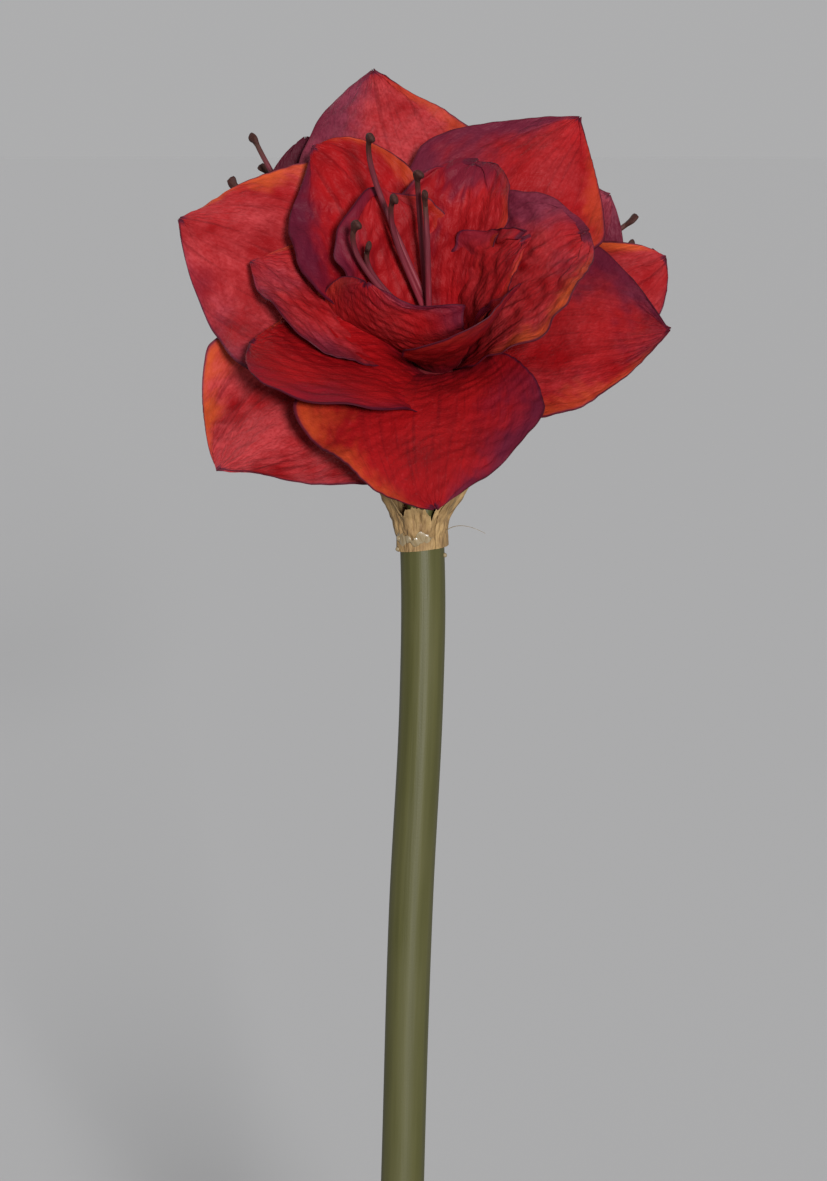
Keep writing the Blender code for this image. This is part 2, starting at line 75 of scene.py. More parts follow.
# The sheath's (height, radius) above its foot, and its torn edge as (degrees, height)
SPATHE_RADII = ((0.0, 10.5), (6.0, 10.5), (13.0, 12.2), (21.0, 15.4), (30.0, 19.5), (42.0, 23.0))
SPATHE_EDGE = (
    (-180, 36),
    (-150, 30),
    (-122, 17),
    (-100, 22),
    (-70, 16),
    (-45, 30),
    (-15, 42),
    (30, 30),
    (90, 22),
    (140, 27),
    (180, 36),
)
SPATHE_FOLDS = 9
FOLD_DEPTH = 0.7
PEDICEL_RADIUS = 3.2
PEDICEL_SPREAD = 4.5
PEDICEL_SUNK = 3.0
PEDICEL_RISE = 22.0
PEDICEL_REACH = 26.0
OVARY_RADIUS = 4.8
OVARY_LENGTH = 17.0
TUBE_LENGTH = 22.0
TUBE_TOP_RADIUS = 12.0
TUBE_FOOT_RADIUS = 6.0
HUB_RADIUS = 4.4
HUB_HEIGHT = 3.0
FILAMENT_RADIUS = 1.2
FILAMENT_RING = 2.8
ANTHER_LENGTH = 8.0

# How finely the visible surfaces are divided: rows and columns, or points and sides
FRONT_GRID = (96, 72)
INNER_GRID = (72, 60)
BACK_GRID = (52, 36)
SHEATH_GRID = (56, 220)
FLAP_GRID = (56, 110)
SCAPE_GRID = (200, 72)
PEDICEL_GRID = (30, 24)
FILAMENT_GRID = (40, 14)
ANTHER_GRID = (22, 18)
VASE_SIDES = 128

# Petals: thickness and relief in millimetres
CLOTH = 0.45
VEINS = 7
VEIN_DEPTH = 0.14
DIMPLE_DEPTH = 0.16
DIMPLE_SIZE = 5.5
CRUMPLE_DEPTH = 0.35
CRUMPLE_SIZE = 11
BUCKLE_DEPTH = 0.7
BUCKLE_SIZE = 42
USUAL_WAVE = 1.4  # of the rim
ROOT_LEAN = 0.45  # how far a root goes out for each mm up
ROOT_SHARE = 0.3  # share of a petal's length over which its root keeps its direction
KEEL_ROUND = 0.04  # share of the half width over which a keel is rounded
LEAST_CUP = 0.001  # radians, so that a flat petal has no division by zero
SMALL = 0.02  # mm, so that a rounded end has no zero radius

# Sheath: its paper, the torn edge of the bract on its right, and its crumples, in millimetres
PAPER = 0.35
FLAP_EDGE = ((-58, 20), (-40, 33), (-15, 43), (10, 38), (40, 31), (75, 25))
CREASE_DEPTH = 0.42
CRINKLE_DEPTH = 0.16
TORN_FLARE = 1.1  # how far its torn edge turns out
TIGHT_SIDE = 1.5  # how much closer it lies to the scape on its right side
FOOT_RISE = 2.2  # how far its lower edge is above the part's
FOOT_SLANT = 1.2  # how much higher again on the right, and lower on the left

# Glue on the sheath, in millimetres and in degrees round from +X
GLUE_RADIUS = 10.75
GLUE_HEIGHT = 7.0
GLUE_ARC = (-165, -62)
# Beads of glue: degrees, height, size, and distance from the sheath's middle
GLUE_BEADS = ((-150, 7.0, 1.3, 10.9), (-158, 2.2, 0.9, 10.9), (-12, -0.6, 1.0, 9.9))
# The hair of glue, as the (x, y, height) of four points that draw it
GLUE_HAIR = ((22.4, -7.5, 497.5), (27.0, -9.5, 501.0), (33.0, -11.0, 499.5), (38.5, -12.0, 496.5))

# Anthers, in millimetres
ANTHER_SUNK = 2.6  # how far an anther's foot reaches down its filament
ANTHER_HOOK = 1.9  # how far its top leans over
ANTHER_NECK = 0.9  # half its width at its foot
ANTHER_SPREAD = 1.25  # how much more at its top
ANTHER_SWELL = 0.3  # how much thicker it is at its top

# Vase: throwing rings, and its foot as (radius, height), in millimetres
RING_DEPTH = 0.1
RING_SPACING = 5.2
VASE_FOOT = ((37.0, 0.0), (31.5, 0.0), (30.5, 1.6), (15.0, 1.8), (0.5, 1.8))

# Light, floor and camera, in metres and degrees
KEY_TOWARDS = (0.18, -0.97, 0.15)
KEY_STRENGTH = 4.6
KEY_SOFTNESS = 9
BACK_TOWARDS = (-0.7, 0.9, 0.8)
BACK_STRENGTH = 0.5
BACK_SOFTNESS = 40
FLOOR_RADIUS = 30
FLOOR_COLOUR = (0.55, 0.55, 0.553, 1.0)
SKY_COLOUR = (0.42, 0.42, 0.424, 1.0)
CAMERA_PLACE = (0.0084, -1.5304, 0.6859)
CAMERA_AIM = (0.0084, -0.045, 0.4771)
CAMERA_LENS = 111.5  # mm
CAMERA_SENSOR = 36  # mm


class Bloom(NamedTuple):
    """Where a bloom stands: its throat in millimetres, and the way that its axis points."""

    name: str
    throat: tuple
    heading: float  # degrees from -Y, positive towards +X
    elevation: float  # degrees above the horizon


class Whorl(NamedTuple):
    """A ring of petals: its name, and where their roots are sunk in the tube."""

    name: str
    root_radius: float  # mm
    root_height: float  # mm


class Petal(NamedTuple):
    """One petal in its bloom's own frame: +Z is the axis and azimuth 90 is the bloom's upper side."""

    azimuth: float  # degrees, of the tip
    reach: float  # mm from the axis to the tip
    rise: float  # mm from the throat's foot up to the tip
    width: float  # mm across the widest place
    shoulder: tuple = (0.0, 0.72, 1.0)  # turn in degrees, share of reach, share of rise
    root_turn: float = 0.0  # degrees
    cup: tuple = (55.0, 25.0, 5.0)  # slope in degrees at each edge: root, middle and tip
    roll: float = 0.0  # degrees that the blade turns about its midrib by the tip
    keel: float = 0.0  # height of the fold at the tip, as a share of the half width
    widest: float = 0.6  # share of the length
    point: float = 1.0  # 1 is pointed, 0 is round
    ruffle: float = 0.0  # mm
    lean: float = 0.0  # share by which the side of higher azimuth is wider


class Look(NamedTuple):
    """How a petal is dyed along its two rims and at its tip, how much painted sheen it has, and how
    uneven its rim is.
    """

    orange: float  # on its clockwise rim, seen from in front of the bloom
    plum: float  # on its other rim; above 1 it only reaches further in
    tip: float  # plum at its tip: the more, the further down it goes, and above 1 it darkens too
    pale: float = 0.1  # how much painted pinkish sheen shows: a painted highlight of the satin
    wave: float = USUAL_WAVE  # mm that the rim waves up and down
    notch: float = 0.012  # share of the petal's size that the rim goes in and out


class Stamen(NamedTuple):
    """Where a stamen's anther is, in its bloom's own frame, and how the anther is turned."""

    azimuth: float  # degrees
    reach: float  # mm from the axis
    rise: float  # mm from the throat's foot
    bend: float = 0.7  # share of the reach that it has gone out at three quarters of its rise
    facing: float = 90.0  # degrees that the flat anther is turned about its filament


FRONT = Bloom("front", (19.7, -28.0, 556.4), -6.0, 50.0)
LEFT = Bloom("left", (-1.0, 15.0, 562.0), -150.0, 50.0)
RIGHT = Bloom("right", (27.0, 10.0, 561.0), 115.0, 45.0)

SEPALS = Whorl("sepals", 9.0, 12.0)
PETALS = Whorl("petals", 7.5, 15.0)
MIDDLE = Whorl("middle", 8.0, 17.0)
INNER = Whorl("inner", 6.5, 19.0)

# In each Look the fourth value is painted sheen, a pinkish highlight painted into the colour
FRONT_PETALS = (
    (
        SEPALS,
        Petal(105, 136, 62, 83, (4, 0.7, 1.0), 1, (55, 21, 4), keel=0.26, point=0.8, lean=-0.03),
        Look(0.5, 1.7, 0.0, 0.85),
    ),
    (
        SEPALS,
        Petal(-9, 97, 52, 91, (-1, 0.85, 0.85), 2, (55, 15, 7), 12, 0.09, widest=0.55, lean=0.08),
        Look(0.6, 1.1, 0.5, 0.25),
    ),
    (
        SEPALS,
        Petal(223, 110, 32, 111, (-3, 0.7, 0.98), -8, (55, 14, 24), 8, 0.18, 0.65, 0.92, lean=0.06),
        Look(0.9, 0.35, 0.1, 0.95),
    ),
    (
        PETALS,
        Petal(59, 107, 71, 88, (1, 0.67, 1.02), 7, (55, 16, -3), 6, 0.24, point=0.94, lean=0.03),
        Look(0.35, 1.2, 0.1, 0.25),
    ),
    (
        PETALS,
        Petal(-85, 114, 53, 98, (-4, 0.82, 1.07), 1, (50, 11, -3), -7, 0.19, 0.54, 0.84, lean=-0.08),
        Look(0.55, 1.0, 0.1, 0.05),
    ),
    (
        PETALS,
        Petal(158, 116, 57, 118, (0, 0.68, 1.09), -5, (35, 14, 2), -11, 0.17, 0.46, 0.83, lean=0.03),
        Look(0.9, 0.6, 0.0, 0.6),
    ),
    (
        MIDDLE,
        Petal(130, 82, 79, 67, (-13, 0.75, 0.92), -2, (55, 23, 9), -6, 0.05, 0.49, 0.22, lean=0.27),
        Look(0.6, 1.0, 0.0, 0.0, 2.0),
    ),
    (
        MIDDLE,
        Petal(169, 76, 59, 79, (3, 0.69, 0.95), -8, (55, 41, 21), 12, 0, 0.58, 0.88, lean=0.18),
        Look(0.6, 0.8, 0.4, 0.4, 2.0),
    ),
    (
        MIDDLE,
        Petal(205, 77, 60, 83, (21, 0.7, 0.95), -2, (55, 11, -2), 17, 0, 0.54, 0.03, lean=0.15),
        Look(0.8, 0.6, 0.0, 0.0, 1.6),
    ),
    (
        MIDDLE,
        Petal(17, 65, 73, 84, (-2, 0.66, 0.96), -4, (55, 30, 7), 8, 0, 0.49, 0.08, lean=0.02),
        Look(0.95, 1.4, 0.3, 0.5, 2.2, 0.03),
    ),
    (
        MIDDLE,
        Petal(-18, 39, 73, 47, (-34, 0.94, 0.87), -33, (60, 58, 21), 26, point=0.83, lean=-0.44),
        Look(0.1, 0.9, 0.6, 0.1, 1.2),
    ),
    (
        INNER,
        Petal(121, 47, 78, 55, (3, 0.74, 0.94), 3, (55, 22, 6), 5, 0, 0.6, 0.34, 1.5, 0.11),
        Look(0.2, 0.9, 0.3, 0.1, 2.4, 0.04),
    ),
    (
        INNER,
        Petal(75, 60, 76, 47, (-3, 0.66, 1.07), -1, (55, 35, 9), -6, 0, 0.67, 0.04, 1.5, 0.12),
        Look(0.3, 0.8, 0.8, 0.1, 2.4, 0.04),
    ),
    (
        INNER,
        Petal(21, 41, 75, 44, (-10, 0.68, 0.98), -4, (55, 31, 9), 4, 0, 0.58, 0.49, 1.5, 0.21),
        Look(0.3, 0.6, 0.2, 0.2, 2.4, 0.05),
    ),
    (
        INNER,
        Petal(-150, 28, 75, 71, (1, 1.08, 0.69), 39, (55, 28, 24), 6, 0, 0.6, 0.59, 1.0, 0.04),
        Look(0.2, 0.8, 0.3, 0.25, 1.4, 0.03),
    ),
)
# Tips of the outer petals of the two blooms behind: degrees, mm from the axis, mm of rise
LEFT_SEPALS = ((58, 56, 89), (176, 56, 84), (292, 58, 84))
LEFT_PETALS = ((122, 48, 91), (232, 48, 88), (-2, 48, 88))
RIGHT_SEPALS = ((194, 56, 85), (315, 56, 82), (90, 50, 86))
RIGHT_PETALS = ((156, 47, 89), (252, 42, 87), (20, 46, 88))
# Dyes and painted sheen of the petals of these two that show beside the open bloom, by the petals' index
LEFT_SHOWN = {0: Look(0.1, 1.6, 1.9, 0.0, 1.1)}
RIGHT_SHOWN = {0: Look(0.9, 0.4, 0.0, 0.5, 1.8), 3: Look(0.1, 1.6, 0.8, 0.6, 1.1)}
# The inner whorls of a half-open bloom: petals, mm of reach, rise and width
HALF_OPEN_WHORLS = ((MIDDLE, 4, 34, 81, 46), (INNER, 3, 20, 74, 36))
HALF_OPEN_WIDTH = 64
FRONT_STAMENS = (
    Stamen(126, 42, 107, bend=1.2, facing=40),
    Stamen(133, 22, 91, bend=1.4, facing=30),
    Stamen(102, 27, 94, bend=1.2, facing=60),
    Stamen(97, 19, 88, bend=0.5, facing=20),
    Stamen(166, 31, 84, bend=1.2, facing=50),
    Stamen(162, 27, 72, bend=1.2, facing=0),
)
LEFT_STAMENS = (
    Stamen(31, 43, 106, bend=0.9, facing=0),
    Stamen(16, 28, 101),
    Stamen(-7, 37, 103, bend=0.55, facing=30),
    Stamen(110, 24, 96, bend=0.55),
    Stamen(200, 24, 92, bend=0.5),
    Stamen(270, 28, 98, bend=0.55),
)
RIGHT_STAMENS = (
    Stamen(60, 24, 94, bend=0.55),
    Stamen(125, 20, 90, bend=0.55),
    Stamen(185, 26, 92, bend=0.5),
    Stamen(240, 28, 92, bend=0.55),
    Stamen(300, 30, 98, bend=0.4),
    Stamen(0, 28, 90, bend=0.55),
)

# Surface colours
DEEP_RED = (0.16, 0.0015, 0.003)
BRIGHT_RED = (0.25, 0.0035, 0.005)
DARK_RED = (0.08, 0.001, 0.003)
# painted sheen: the pinkish highlight of the satin, painted into the colour
PAINTED_SHEEN_PINK = (0.35, 0.034, 0.038)
ORANGE = (0.42, 0.062, 0.013)
PLUM = (0.06, 0.0045, 0.016)
# plum with painted sheen on it
PAINTED_SHEEN_MAUVE = (0.15, 0.024, 0.045)
# painted shade along the petals' rims
PAINTED_RIM_SHADE = (0.025, 0.002, 0.005)
FILAMENT_FOOT = (0.2, 0.012, 0.024)
FILAMENT_TOP = (0.1, 0.014, 0.022)
FILAMENT_TIP = (0.04, 0.02, 0.012)
FILAMENT_LINE = (0.2, 0.05, 0.06)
ANTHER_DARK = (0.03, 0.0065, 0.005)
ANTHER_BROWN = (0.044, 0.012, 0.008)
POLLEN = (0.065, 0.024, 0.017)
TUBE_GREEN = (0.07, 0.06, 0.02)
TUBE_RED = (0.1, 0.006, 0.009)
TUBE_RIB = (0.14, 0.012, 0.012)
OLIVE = (0.046, 0.045, 0.011)
OLIVE_STREAK = (0.06, 0.058, 0.017)
OLIVE_CLOUD = (0.07, 0.066, 0.026)
OLIVE_SPECK = (0.03, 0.033, 0.012)
PAPER_BROWN = (0.17, 0.098, 0.034)
PAPER_GOLD = (0.3, 0.19, 0.075)
PAPER_CREASE = (0.14, 0.075, 0.026)
PAPER_FIBRE = (0.12, 0.06, 0.02)
PAPER_PALE = (0.34, 0.23, 0.1)
GLUE_BROWN = (0.16, 0.11, 0.05)
GLUE_PALE = (0.24, 0.19, 0.115)
GLAZE_GREY = (0.36, 0.33, 0.285)
GLAZE_PALE = (0.44, 0.415, 0.37)
IRON_SPECK = (0.1, 0.06, 0.035)
BARE_CLAY = (0.22, 0.15, 0.1)

# How much the surfaces mirror: 0.5 is usual
USUAL_GLOSS = 0.5
SATIN_GLOSS = 0.09
STAMEN_GLOSS = 0.25
STEM_GLOSS = 0.28


def smooth(x):
    """A soft step: 0 up to x = 0, and 1 from x = 1."""
    x = np.clip(x, 0.0, 1.0)
    return x * x * (3.0 - 2.0 * x)


def unit(vectors):
    """The same directions with a length of 1."""
    return vectors / np.linalg.norm(vectors, axis=-1, keepdims=True)


def around(azimuth, radius, height):
    """A point from an azimuth in degrees, a distance from the axis and a height along it."""
    angle = math.radians(azimuth)
    return np.array([radius * math.cos(angle), radius * math.sin(angle), height])


def hills(u, v, seed, size, stretch=1.0):
    """Smooth random hills and hollows of about one unit, size mm apart, drawn out along v."""
    draw = np.random.default_rng(seed)
    waves = 14
    total = 0.0
    for _ in range(waves):
        angle, phase = draw.uniform(0, TURN, 2)
        wave = TURN / size * draw.uniform(0.6, 1.4)
        total = total + np.sin(wave * (math.cos(angle) * u + math.sin(angle) * v / stretch) + phase)
    return total / math.sqrt(waves / 2)


def bezier(p0, p1, p2, p3, count):
    """Points evenly spaced along a cubic curve."""
    t = np.linspace(0.0, 1.0, 161)[:, None]
    curve = (1 - t) ** 3 * p0 + 3 * (1 - t) ** 2 * t * p1 + 3 * (1 - t) * t**2 * p2 + t**3 * p3
    return evenly(curve, count)


def evenly(curve, count):
    """The same curve as a number of points at equal steps along it."""
    along = np.concatenate([[0], np.cumsum(np.linalg.norm(np.diff(curve, axis=0), axis=1))])
    even = np.linspace(0.0, along[-1], count)
    return np.stack([np.interp(even, along, curve[:, i]) for i in range(3)], axis=1)


def midrib(petal, whorl, count):
    """Points evenly spaced along the petal's midrib, and the direction of the midrib at each."""
    start = petal.azimuth + petal.root_turn
    root = around(start, whorl.root_radius, whorl.root_height)
    tip = around(petal.azimuth, petal.reach, petal.rise)
    turn, out, up = petal.shoulder
    shoulder = around(petal.azimuth + turn, petal.reach * out, petal.rise * up)
    leave = root + around(start, ROOT_LEAN, 1.0) * ROOT_SHARE * np.linalg.norm(tip - root)
    points = bezier(root, leave, shoulder, tip, count)
    return points, unit(np.gradient(points, axis=0))


def carried(normal, ways):
    """A normal carried along a path without twist: one for each of the path's directions."""
    normals = []
    for way in ways:
        normal = unit(normal - way * (normal @ way))
        normals.append(normal)
    return np.array(normals)


def outline(petal, t):
    """Half width at share t of the length, as a share of the widest half width."""
    before = np.clip(t / petal.widest, 0, 1)
    after = np.clip((t - petal.widest) / (1 - petal.widest), 0, 1)
    swell = 0.2 + 0.8 * np.sin(before * math.pi / 2) ** 1.1
    power = 2.2 - 1.0 * petal.point
    taper = np.clip(1 - after**power, 0, 1) ** (0.5 + 0.35 * petal.point)
    return np.maximum(swell * taper, 0.02)


def pressed(u, v, s, t, seed, uneven):
    """Height of the pressed veins, dimples, crumples and buckles of a petal, in millimetres."""
    veins = np.sin(TURN * VEINS * s + 0.9 * hills(u, v, seed + 1, 34))
    veins = VEIN_DEPTH * veins * (0.7 + 0.3 * hills(u, v, seed + 2, 22))
    dimples = DIMPLE_DEPTH * uneven * hills(u + 0.5 * v, v, seed + 3, DIMPLE_SIZE, stretch=1.7)
    buckles = BUCKLE_DEPTH * hills(u, v, seed + 4, BUCKLE_SIZE)
    crumples = CRUMPLE_DEPTH * (uneven - 1) * hills(u, v, seed + 9, CRUMPLE_SIZE)
    return (veins + dimples) * smooth(t / 0.25) + (buckles + crumples) * smooth((t - 0.1) / 0.4)


def rim_wave(look, s, t, seed):
    """How far the rim waves up and down: each side of the petal has waves of its own."""
    draw = random.Random(seed)
    total = 0.0
    for side in (-1, 1):
        near = np.clip(s * side, 0, 1) ** 3
        long_wave = np.sin(TURN * (draw.uniform(1.6, 2.4) * t + draw.random()))
        short_wave = np.sin(TURN * (draw.uniform(4.5, 6.0) * t + draw.random()))
        total = total + look.wave * near * (0.75 * long_wave + 0.3 * short_wave)
    return total * smooth((t - 0.25) / 0.3)


def dyes(look, u, v, s, t, seed):
    """For each point its orange, its plum (2 is painted shade along the rim), its painted sheen, and how
    far out it is.
    """
    patchy = 0.07 * hills(u, v, seed + 5, 26) + 0.03 * hills(u, v, seed + 6, 4, stretch=2.0)
    orange = look.orange * smooth((-s - 0.62 + patchy) / 0.38) * smooth((t - 0.3) / 0.3)
    side = smooth((s - 0.85 + 0.5 * look.plum + patchy) / 0.6)
    plum = min(look.plum, 1.0) * side * smooth((t - 0.2) / 0.35)
    reach = 0.86 - 0.28 * look.tip
    plum = np.maximum(plum, look.tip * smooth((t - reach + patchy) / 0.3))
    orange = orange * (1 - smooth((t - 0.9) / 0.1))
    # painted shade along the rims and at the tip
    rim = np.maximum(smooth((np.abs(s) - 0.965) / 0.03), smooth((t - 0.985) / 0.015))
    clouds = 0.75 + 0.25 * hills(u, v, seed + 7, 30) + 0.12 * hills(u, v, seed + 8, 9)
    # painted sheen: a pinkish highlight painted into the petal's colour
    painted_sheen = np.clip(look.pale * clouds, 0, 1) * smooth((t - 0.15) / 0.3)
    return np.stack([orange, np.maximum(plum, 2 * rim), painted_sheen, t], axis=-1)


def petal_heights(petal, look, s, t, across, v, half, seed):
    """How far each point of a petal is lifted off its midrib: keel, ruffle, rim and relief."""
    fold = np.sqrt(s * s + KEEL_ROUND**2) - KEEL_ROUND
    keel = petal.keel * half * fold * smooth((t - 0.45) / 0.55)
    wave = np.sin(TURN * (3 * t + 0.31 * s))
    ruffle = petal.ruffle * np.abs(s) ** 1.5 * wave * smooth((t - 0.15) / 0.35)
    relief = pressed(across, v, s, t, seed, look.wave / USUAL_WAVE)
    return ruffle - keel + rim_wave(look, s, t, seed) + relief


def notched(look, s, t, length, seed):
    """The uneven rim: the share that each point goes out, and how far it slips down the petal."""
    sway = np.sin(TURN * (2.6 * t + 0.17 * seed)) + 0.6 * np.sin(TURN * (6.1 * t + 0.31 * seed))
    ends = np.sin(TURN * (1.3 * s + 0.23 * seed)) + 0.7 * np.sin(TURN * (2.9 * s + 0.37 * seed))
    slip = look.notch * length * (ends - 1) / 2 * smooth((t - 0.5) / 0.5)
    return 1 + look.notch * sway * np.abs(s), slip


def petal_body(petal, look, whorl, size, seed):
    """A petal as a closed thin body in its bloom's own frame, with its dyes.

    Over the petal t goes from 0 at its root to 1 at its tip, and s from -1 to 1 across it.
    """
    rows, columns = size
    t, s = np.meshgrid(np.linspace(0, 1, rows + 1), np.linspace(-1, 1, columns + 1), indexing="ij")
    points, ways = midrib(petal, whorl, rows + 1)
    normals = carried(-around(petal.azimuth + petal.root_turn, 1.0, 0.0), ways)
    sides = np.cross(normals, ways)
    half = outline(petal, t) * petal.width / 2
    cup = np.maximum(np.radians(np.interp(t, [0, 0.5, 1], petal.cup)), LEAST_CUP)
    wide = half * (1 + petal.lean * s)
    across = wide * np.sin(cup * s) / cup
    length = np.linalg.norm(np.diff(points, axis=0), axis=1).sum()
    v = t * length
    up = wide * (1 - np.cos(cup * s)) / cup + petal_heights(petal, look, s, t, across, v, half, seed)
    out, slip = notched(look, s, t, length, seed)
    across = across * out
    turn = np.radians(petal.roll) * smooth((t - 0.1) / 0.7)
    cos, sin = np.cos(turn)[..., None], np.sin(turn)[..., None]
    side = sides[:, None] * cos + normals[:, None] * sin
    normal = normals[:, None] * cos - sides[:, None] * sin
    grid = points[:, None] + across[..., None] * side + up[..., None] * normal
    grid = grid + slip[..., None] * ways[:, None]
    cloth = np.stack([s * np.sqrt(half * petal.width / 2), v, np.full_like(v, 61.0 * seed)], axis=-1)
    return shell(grid, CLOTH, cloth, dyes(look, across, v, s, t, seed))


def shell(grid, thickness, cloth, dye):
    """A closed thin body round a grid of points."""
    normal = unit(np.cross(np.gradient(grid, axis=1), np.gradient(grid, axis=0)))
    points = [(grid + side * thickness / 2 * normal).reshape(-1, 3) for side in (1, -1)]
    index = np.arange(grid.shape[0] * grid.shape[1]).reshape(grid.shape[:2])
    corners = (index[:-1, :-1], index[:-1, 1:], index[1:, 1:], index[1:, :-1])
    front = np.stack(corners, axis=-1).reshape(-1, 4)
    loop = np.concatenate([index[0], index[1:, -1], index[-1, -2::-1], index[-2:0:-1, 0]])
    after = np.roll(loop, -1)
    rim = np.stack([after, loop, loop + index.size, after + index.size], axis=-1)
    faces = np.concatenate([front, front[:, ::-1] + index.size, rim])
    painted = [np.tile(values.reshape(index.size, -1), (2, 1)) for values in (cloth, dye)]
    return np.concatenate(points), faces.tolist(), *painted


def sweep(path, wide, thick, sides, first=(0.0, 1.0, 0.0)):
    """A closed tube along a path. wide and thick are its half sizes at each point, in mm."""
    ways = unit(np.gradient(path, axis=0))
    normals = carried(np.array(first), ways)
    angles = np.linspace(0, TURN, sides, endpoint=False)
    wide, thick = (np.reshape(half, (len(path), -1)) for half in (wide, thick))
    out = (wide * np.cos(angles))[..., None] * np.cross(normals, ways)[:, None]
    out = out + (thick * np.sin(angles))[..., None] * normals[:, None]
    along = np.concatenate([[0], np.cumsum(np.linalg.norm(np.diff(path, axis=0), axis=1))])
    return ringed(path[:, None] + out, along, angles, float(np.max(wide)))


def ringed(rings, along, angles, radius):
    """A closed body from rings of points, one after another."""
    count, sides = rings.shape[:2]
    index = np.arange(count * sides).reshape(count, sides)
    after = np.roll(index, -1, axis=1)
    corners = (index[:-1], after[:-1], after[1:], index[1:])
    faces = np.stack(corners, axis=-1).reshape(-1, 4).tolist()
    faces += [index[0][::-1].tolist(), index[-1].tolist()]
    v, u = np.meshgrid(along, angles * radius, indexing="ij")
    cloth = np.stack([u, v, 0 * v], axis=-1).reshape(-1, 3)
    share = v / max(float(along[-1]), 0.001)
    dye = np.stack([0 * v, 0 * v, 0 * v, share], axis=-1).reshape(-1, 4)
    return rings.reshape(-1, 3), faces, cloth, dye


def frame_of(bloom):
    """The bloom's throat, and its three axes as the rows of a matrix."""
    heading, elevation = math.radians(bloom.heading), math.radians(bloom.elevation)
    flat = math.cos(elevation)
    axis = np.array([math.sin(heading) * flat, -math.cos(heading) * flat, math.sin(elevation)])
    right = np.array([math.cos(heading), math.sin(heading), 0.0])
    return np.array(bloom.throat), np.stack([right, np.cross(axis, right), axis])


def placed(bloom, body):
    """A body from a bloom's own frame, in world millimetres."""
    throat, axes = frame_of(bloom)
    return (throat + body[0] @ axes, *body[1:])


def piece(name, bodies, surface, node):
    """One object from several bodies: it rides on the part and stands for one of its nodes."""
    mesh = bpy.data.meshes.new(name)
    points, faces = [], []
    for body in bodies:
        start = sum(len(other) for other in points)
        points.append(body[0])
        faces.extend([start + corner for corner in face] for face in body[1])
    mesh.from_pydata((np.concatenate(points) * MM).tolist(), [], faces)
    cloth = mesh.attributes.new("cloth", "FLOAT_VECTOR", "POINT")
    cloth.data.foreach_set("vector", np.concatenate([body[2] for body in bodies]).ravel())
    dye = mesh.attributes.new("dye", "FLOAT_COLOR", "POINT")
    dye.data.foreach_set("color", np.concatenate([body[3] for body in bodies]).ravel())
    mesh.materials.append(surface)
    mesh.shade_smooth()
    mesh.set_sharp_from_angle(angle=math.radians(60))
    obj = bpy.data.objects.new(name, mesh)
    bpy.context.scene.collection.objects.link(obj)
    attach(obj, "root")
    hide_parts(node)


def add(tree, kind, sockets=None, **settings):
    """A node with its settings; each named socket is linked to an output or set to a value."""
    made = tree.nodes.new("ShaderNode" + kind)
    for name, value in settings.items():
        setattr(made, name, value)
    for name, value in (sockets or {}).items():
        if isinstance(value, bpy.types.NodeSocket):
            tree.links.new(value, made.inputs[name])
        else:
            made.inputs[name].default_value = value
    return made


def maths(tree, operation, first, second=0.0):
    """The outcome of one sum."""
    return add(tree, "Math", {0: first, 1: second}, operation=operation).outputs[0]


def mixed(tree, share, first, second):
    """A colour between two others."""
    first, second = ((*c, 1.0) if isinstance(c, tuple) else c for c in (first, second))
    return add(tree, "Mix", {0: share, 6: first, 7: second}, data_type="RGBA").outputs[2]


def spread(tree, value, low, high, to_low=0.0, to_high=1.0):
    """A value from between low and high, spread to between two others."""
    sockets = {0: value, 1: low, 2: high, 3: to_low, 4: to_high}
    return add(tree, "MapRange", sockets).outputs[0]


def grain(tree, place, size, scale=(1.0, 1.0, 1.0), detail=2.0):
    """Smooth noise with hills about size apart, with its axes scaled."""
    moved = add(tree, "VectorMath", {0: place, 1: scale}, operation="MULTIPLY").outputs[0]
    return add(tree, "TexNoise", {"Vector": moved, "Scale": 1.0 / size, "Detail": detail}).outputs[0]


def surface(name, roughness, paint, gloss=USUAL_GLOSS):
    """A material. paint(tree, shader) links its colour, its bumps and in some its roughness."""
    made = bpy.data.materials.new(name)
    made.use_nodes = True
    tree = made.node_tree
    shader = tree.nodes["Principled BSDF"]
    shader.inputs["Roughness"].default_value = roughness
    shader.inputs["Specular IOR Level"].default_value = gloss
    paint(tree, shader)
    return made


def bumps(tree, shader, layers):
    """Bumps from (height, distance in metres) layers."""
    normal = None
    for height, distance in layers:
        sockets = {"Height": height, "Distance": distance}
        if normal:
            sockets["Normal"] = normal
        normal = add(tree, "Bump", sockets).outputs[0]
    tree.links.new(normal, shader.inputs["Normal"])


def attribute(tree, name):
    """A value that the mesh keeps at its points."""
    return add(tree, "Attribute", attribute_name=name)


